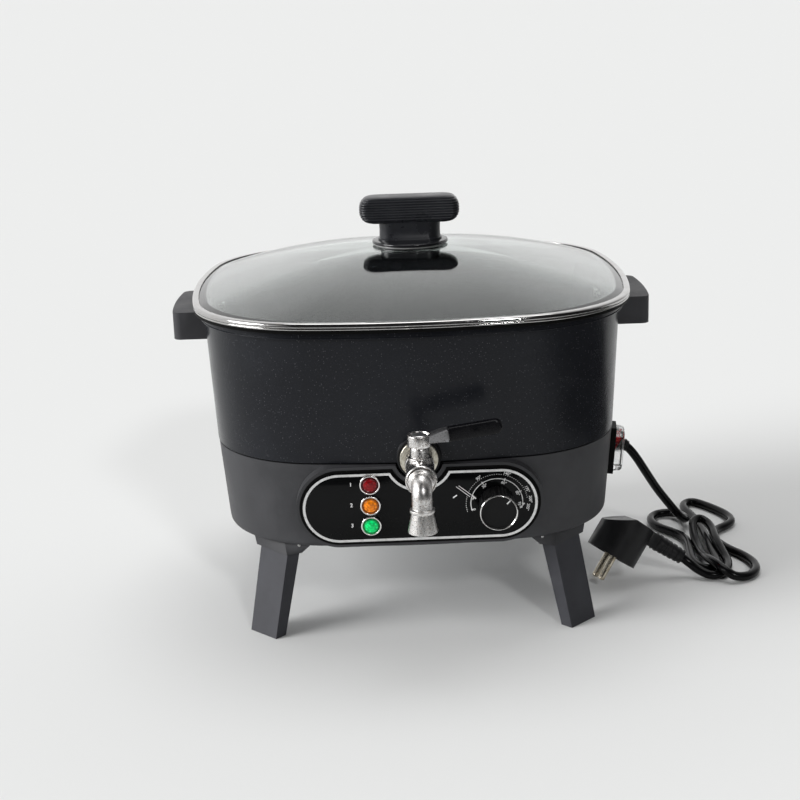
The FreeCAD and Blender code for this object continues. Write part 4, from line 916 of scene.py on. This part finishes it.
frame_plastic = moulded("frame plastic", (0.004, 0.004, 0.004), 0.45, grain=0.5, dust=0.1, shine=0.05)
softened("switch_frame", "switch_body", frame_plastic, "root", 0.5)
switch_red = moulded("switch red", (0.55, 0.012, 0.015), 0.22, dust=0.0, Coat_Weight=0.4)
SWITCH = wall_frame(-50.0, 100.0)
ROCKER_HALF, ROCKER_HINGE, ROCKER_TILT, ROCKER_DISH = 10.6, 1.5, 12.0, 12.0


def rocker_grid():
    """Dished rocker about its hinge: its face rises from the middle to both ends, its ends are round."""
    up = np.linspace(-1.0, 1.0, 33) * ROCKER_HALF
    out = 2.6 + np.abs(up) * math.tan(math.radians(ROCKER_DISH)) - 0.5 * (np.abs(up) / ROCKER_HALF) ** 24
    face = np.column_stack((up, out))
    back = np.column_stack((np.array((0.96, -0.96)) * ROCKER_HALF, (-1.0, -1.0)))
    outline = np.concatenate((face, back))
    slices = ((0.0, 0.0), (5.6, 0.94), (6.1, 1.0), (-6.1, 1.0), (-5.6, 0.94), (0.0, 0.0))
    return np.stack([np.column_stack((np.full(len(outline), aside), outline * scale))
                     for aside, scale in slices])


hinge = SWITCH[0] + SWITCH[1] @ np.array((0.0, 0.0, ROCKER_HINGE))
piece("rocker_red", [woven(placed(rocker_grid(), hinge, SWITCH[1] @ turn("X", ROCKER_TILT)))], switch_red,
      "switch_rocker", ["rocker"], 30.0)
clear_plastic, tree, skin = principled("clear plastic", Transmission_Weight=1.0, IOR=1.15)
haze = noise(tree, object_place(tree), 400.0)
hazed = tint(tree, haze, (0.93, 0.93, 0.93, 1.0), (0.97, 0.97, 0.97, 1.0))
join(tree, skin.inputs, Base_Color=hazed, Roughness=spread(tree, haze, 0.3, 0.7, 0.08, 0.2))
COVER_WALL = 0.9
height, half_width, half_height = np.array(((4.0, 9.4, 15.4), (8.6, 8.9, 14.7), (9.8, 8.3, 14.1),
                                            (10.2, 7.2, 13.0))).T
outer = bar_grid(height, half_width, half_height, 3.0)[1:]
inner = bar_grid(height - COVER_WALL * (height > height[0]), half_width - COVER_WALL,
                 half_height - COVER_WALL, 2.4)[:-1]
piece("splash_cover", [woven(placed(np.concatenate((inner, outer)), *SWITCH))], clear_plastic, "root",
      ["switch_cover"])
softened("thermostat", "thermostat_body", black_plastic, "root", 0.5)

# ---- floor and light ----
# A pale table top, a low lamp on the left, a weak one in front and one overhead, in a room that is pale at
# the back and dark behind the camera.  Near-black sheets in front and on the right are seen only in what
# shines: they are painted dark reflections.

FAR, DARK_REFLECTION = 60.0, (0.02, 0.02, 0.02)


def sheet(name, left, right, near, far, height, colour):
    """Flat matt rectangle between two values of x and two of y, at a height, all in metres."""
    mesh = bpy.data.meshes.new(name)
    corners = [(left, near, height), (right, near, height), (right, far, height), (left, far, height)]
    mesh.from_pydata(corners, [], [(0, 1, 2, 3)])
    made = linked(name, mesh)
    matt = principled(name, Base_Color=(*colour, 1.0), Roughness=0.9, Specular_IOR_Level=0.0)[0]
    mesh.materials.append(matt)
    return made


sheet("table top", -FAR, FAR, -FAR, FAR, 0.0, (0.77, 0.775, 0.77))
# Painted dark reflections: near-black sheets that only glossy rays see, in front and on the right.
for reflection_sheet in (sheet("dark reflection sheet in front", -FAR, FAR, -FAR, -0.62, 0.001, DARK_REFLECTION),
              sheet("dark reflection sheet on the right", 0.38, FAR, -0.62, 0.25, 0.001, DARK_REFLECTION)):
    reflection_sheet.visible_camera = False
    reflection_sheet.visible_diffuse = False
    reflection_sheet.visible_shadow = False
    reflection_sheet.visible_transmission = False


def far_lamp(name, towards, strength, width):
    """Sun lamp in the direction given, seen width degrees across."""
    lamp = linked(name, bpy.data.lights.new(name, "SUN"))
    lamp.data.energy = strength
    lamp.data.angle = math.radians(width)
    lamp.rotation_mode = "QUATERNION"
    lamp.rotation_quaternion = Vector(towards).to_track_quat("Z", "Y")


far_lamp("left lamp", (-0.9, -0.25, 0.36), 3.0, 34.0)
far_lamp("front lamp", (0.3, -0.8, 0.55), 0.6, 8.0)
far_lamp("overhead lamp", (0.05, 0.3, 1.0), 0.8, 35.0)

room = bpy.data.worlds.new("room")
bpy.context.scene.world = room
room.use_nodes = True
tree = room.node_tree
tree.nodes.clear()
heading = put(tree, "SeparateXYZ", {0: put(tree, "TexCoord").outputs["Generated"]}).outputs
rear_wall = spread(tree, heading[1], -0.25, 0.35, 0.03, 1.0)
to_the_right = spread(tree, heading[0], 0.5, 0.85, 1.0, 0.3)
left_wall = spread(tree, heading[0], -0.45, -0.8, 0.0, 0.85)
walls = put(tree, "Math", {0: product(tree, rear_wall, to_the_right), 1: left_wall}, operation="MAXIMUM")
ceiling = spread(tree, heading[2], 0.6, 0.98, 1.0, 0.5)
around = product(tree, walls.outputs[0], ceiling)
sky = put(tree, "Background", {"Color": (1.0, 1.0, 1.0, 1.0), "Strength": around})
tree.links.new(sky.outputs[0], put(tree, "OutputWorld").inputs["Surface"])
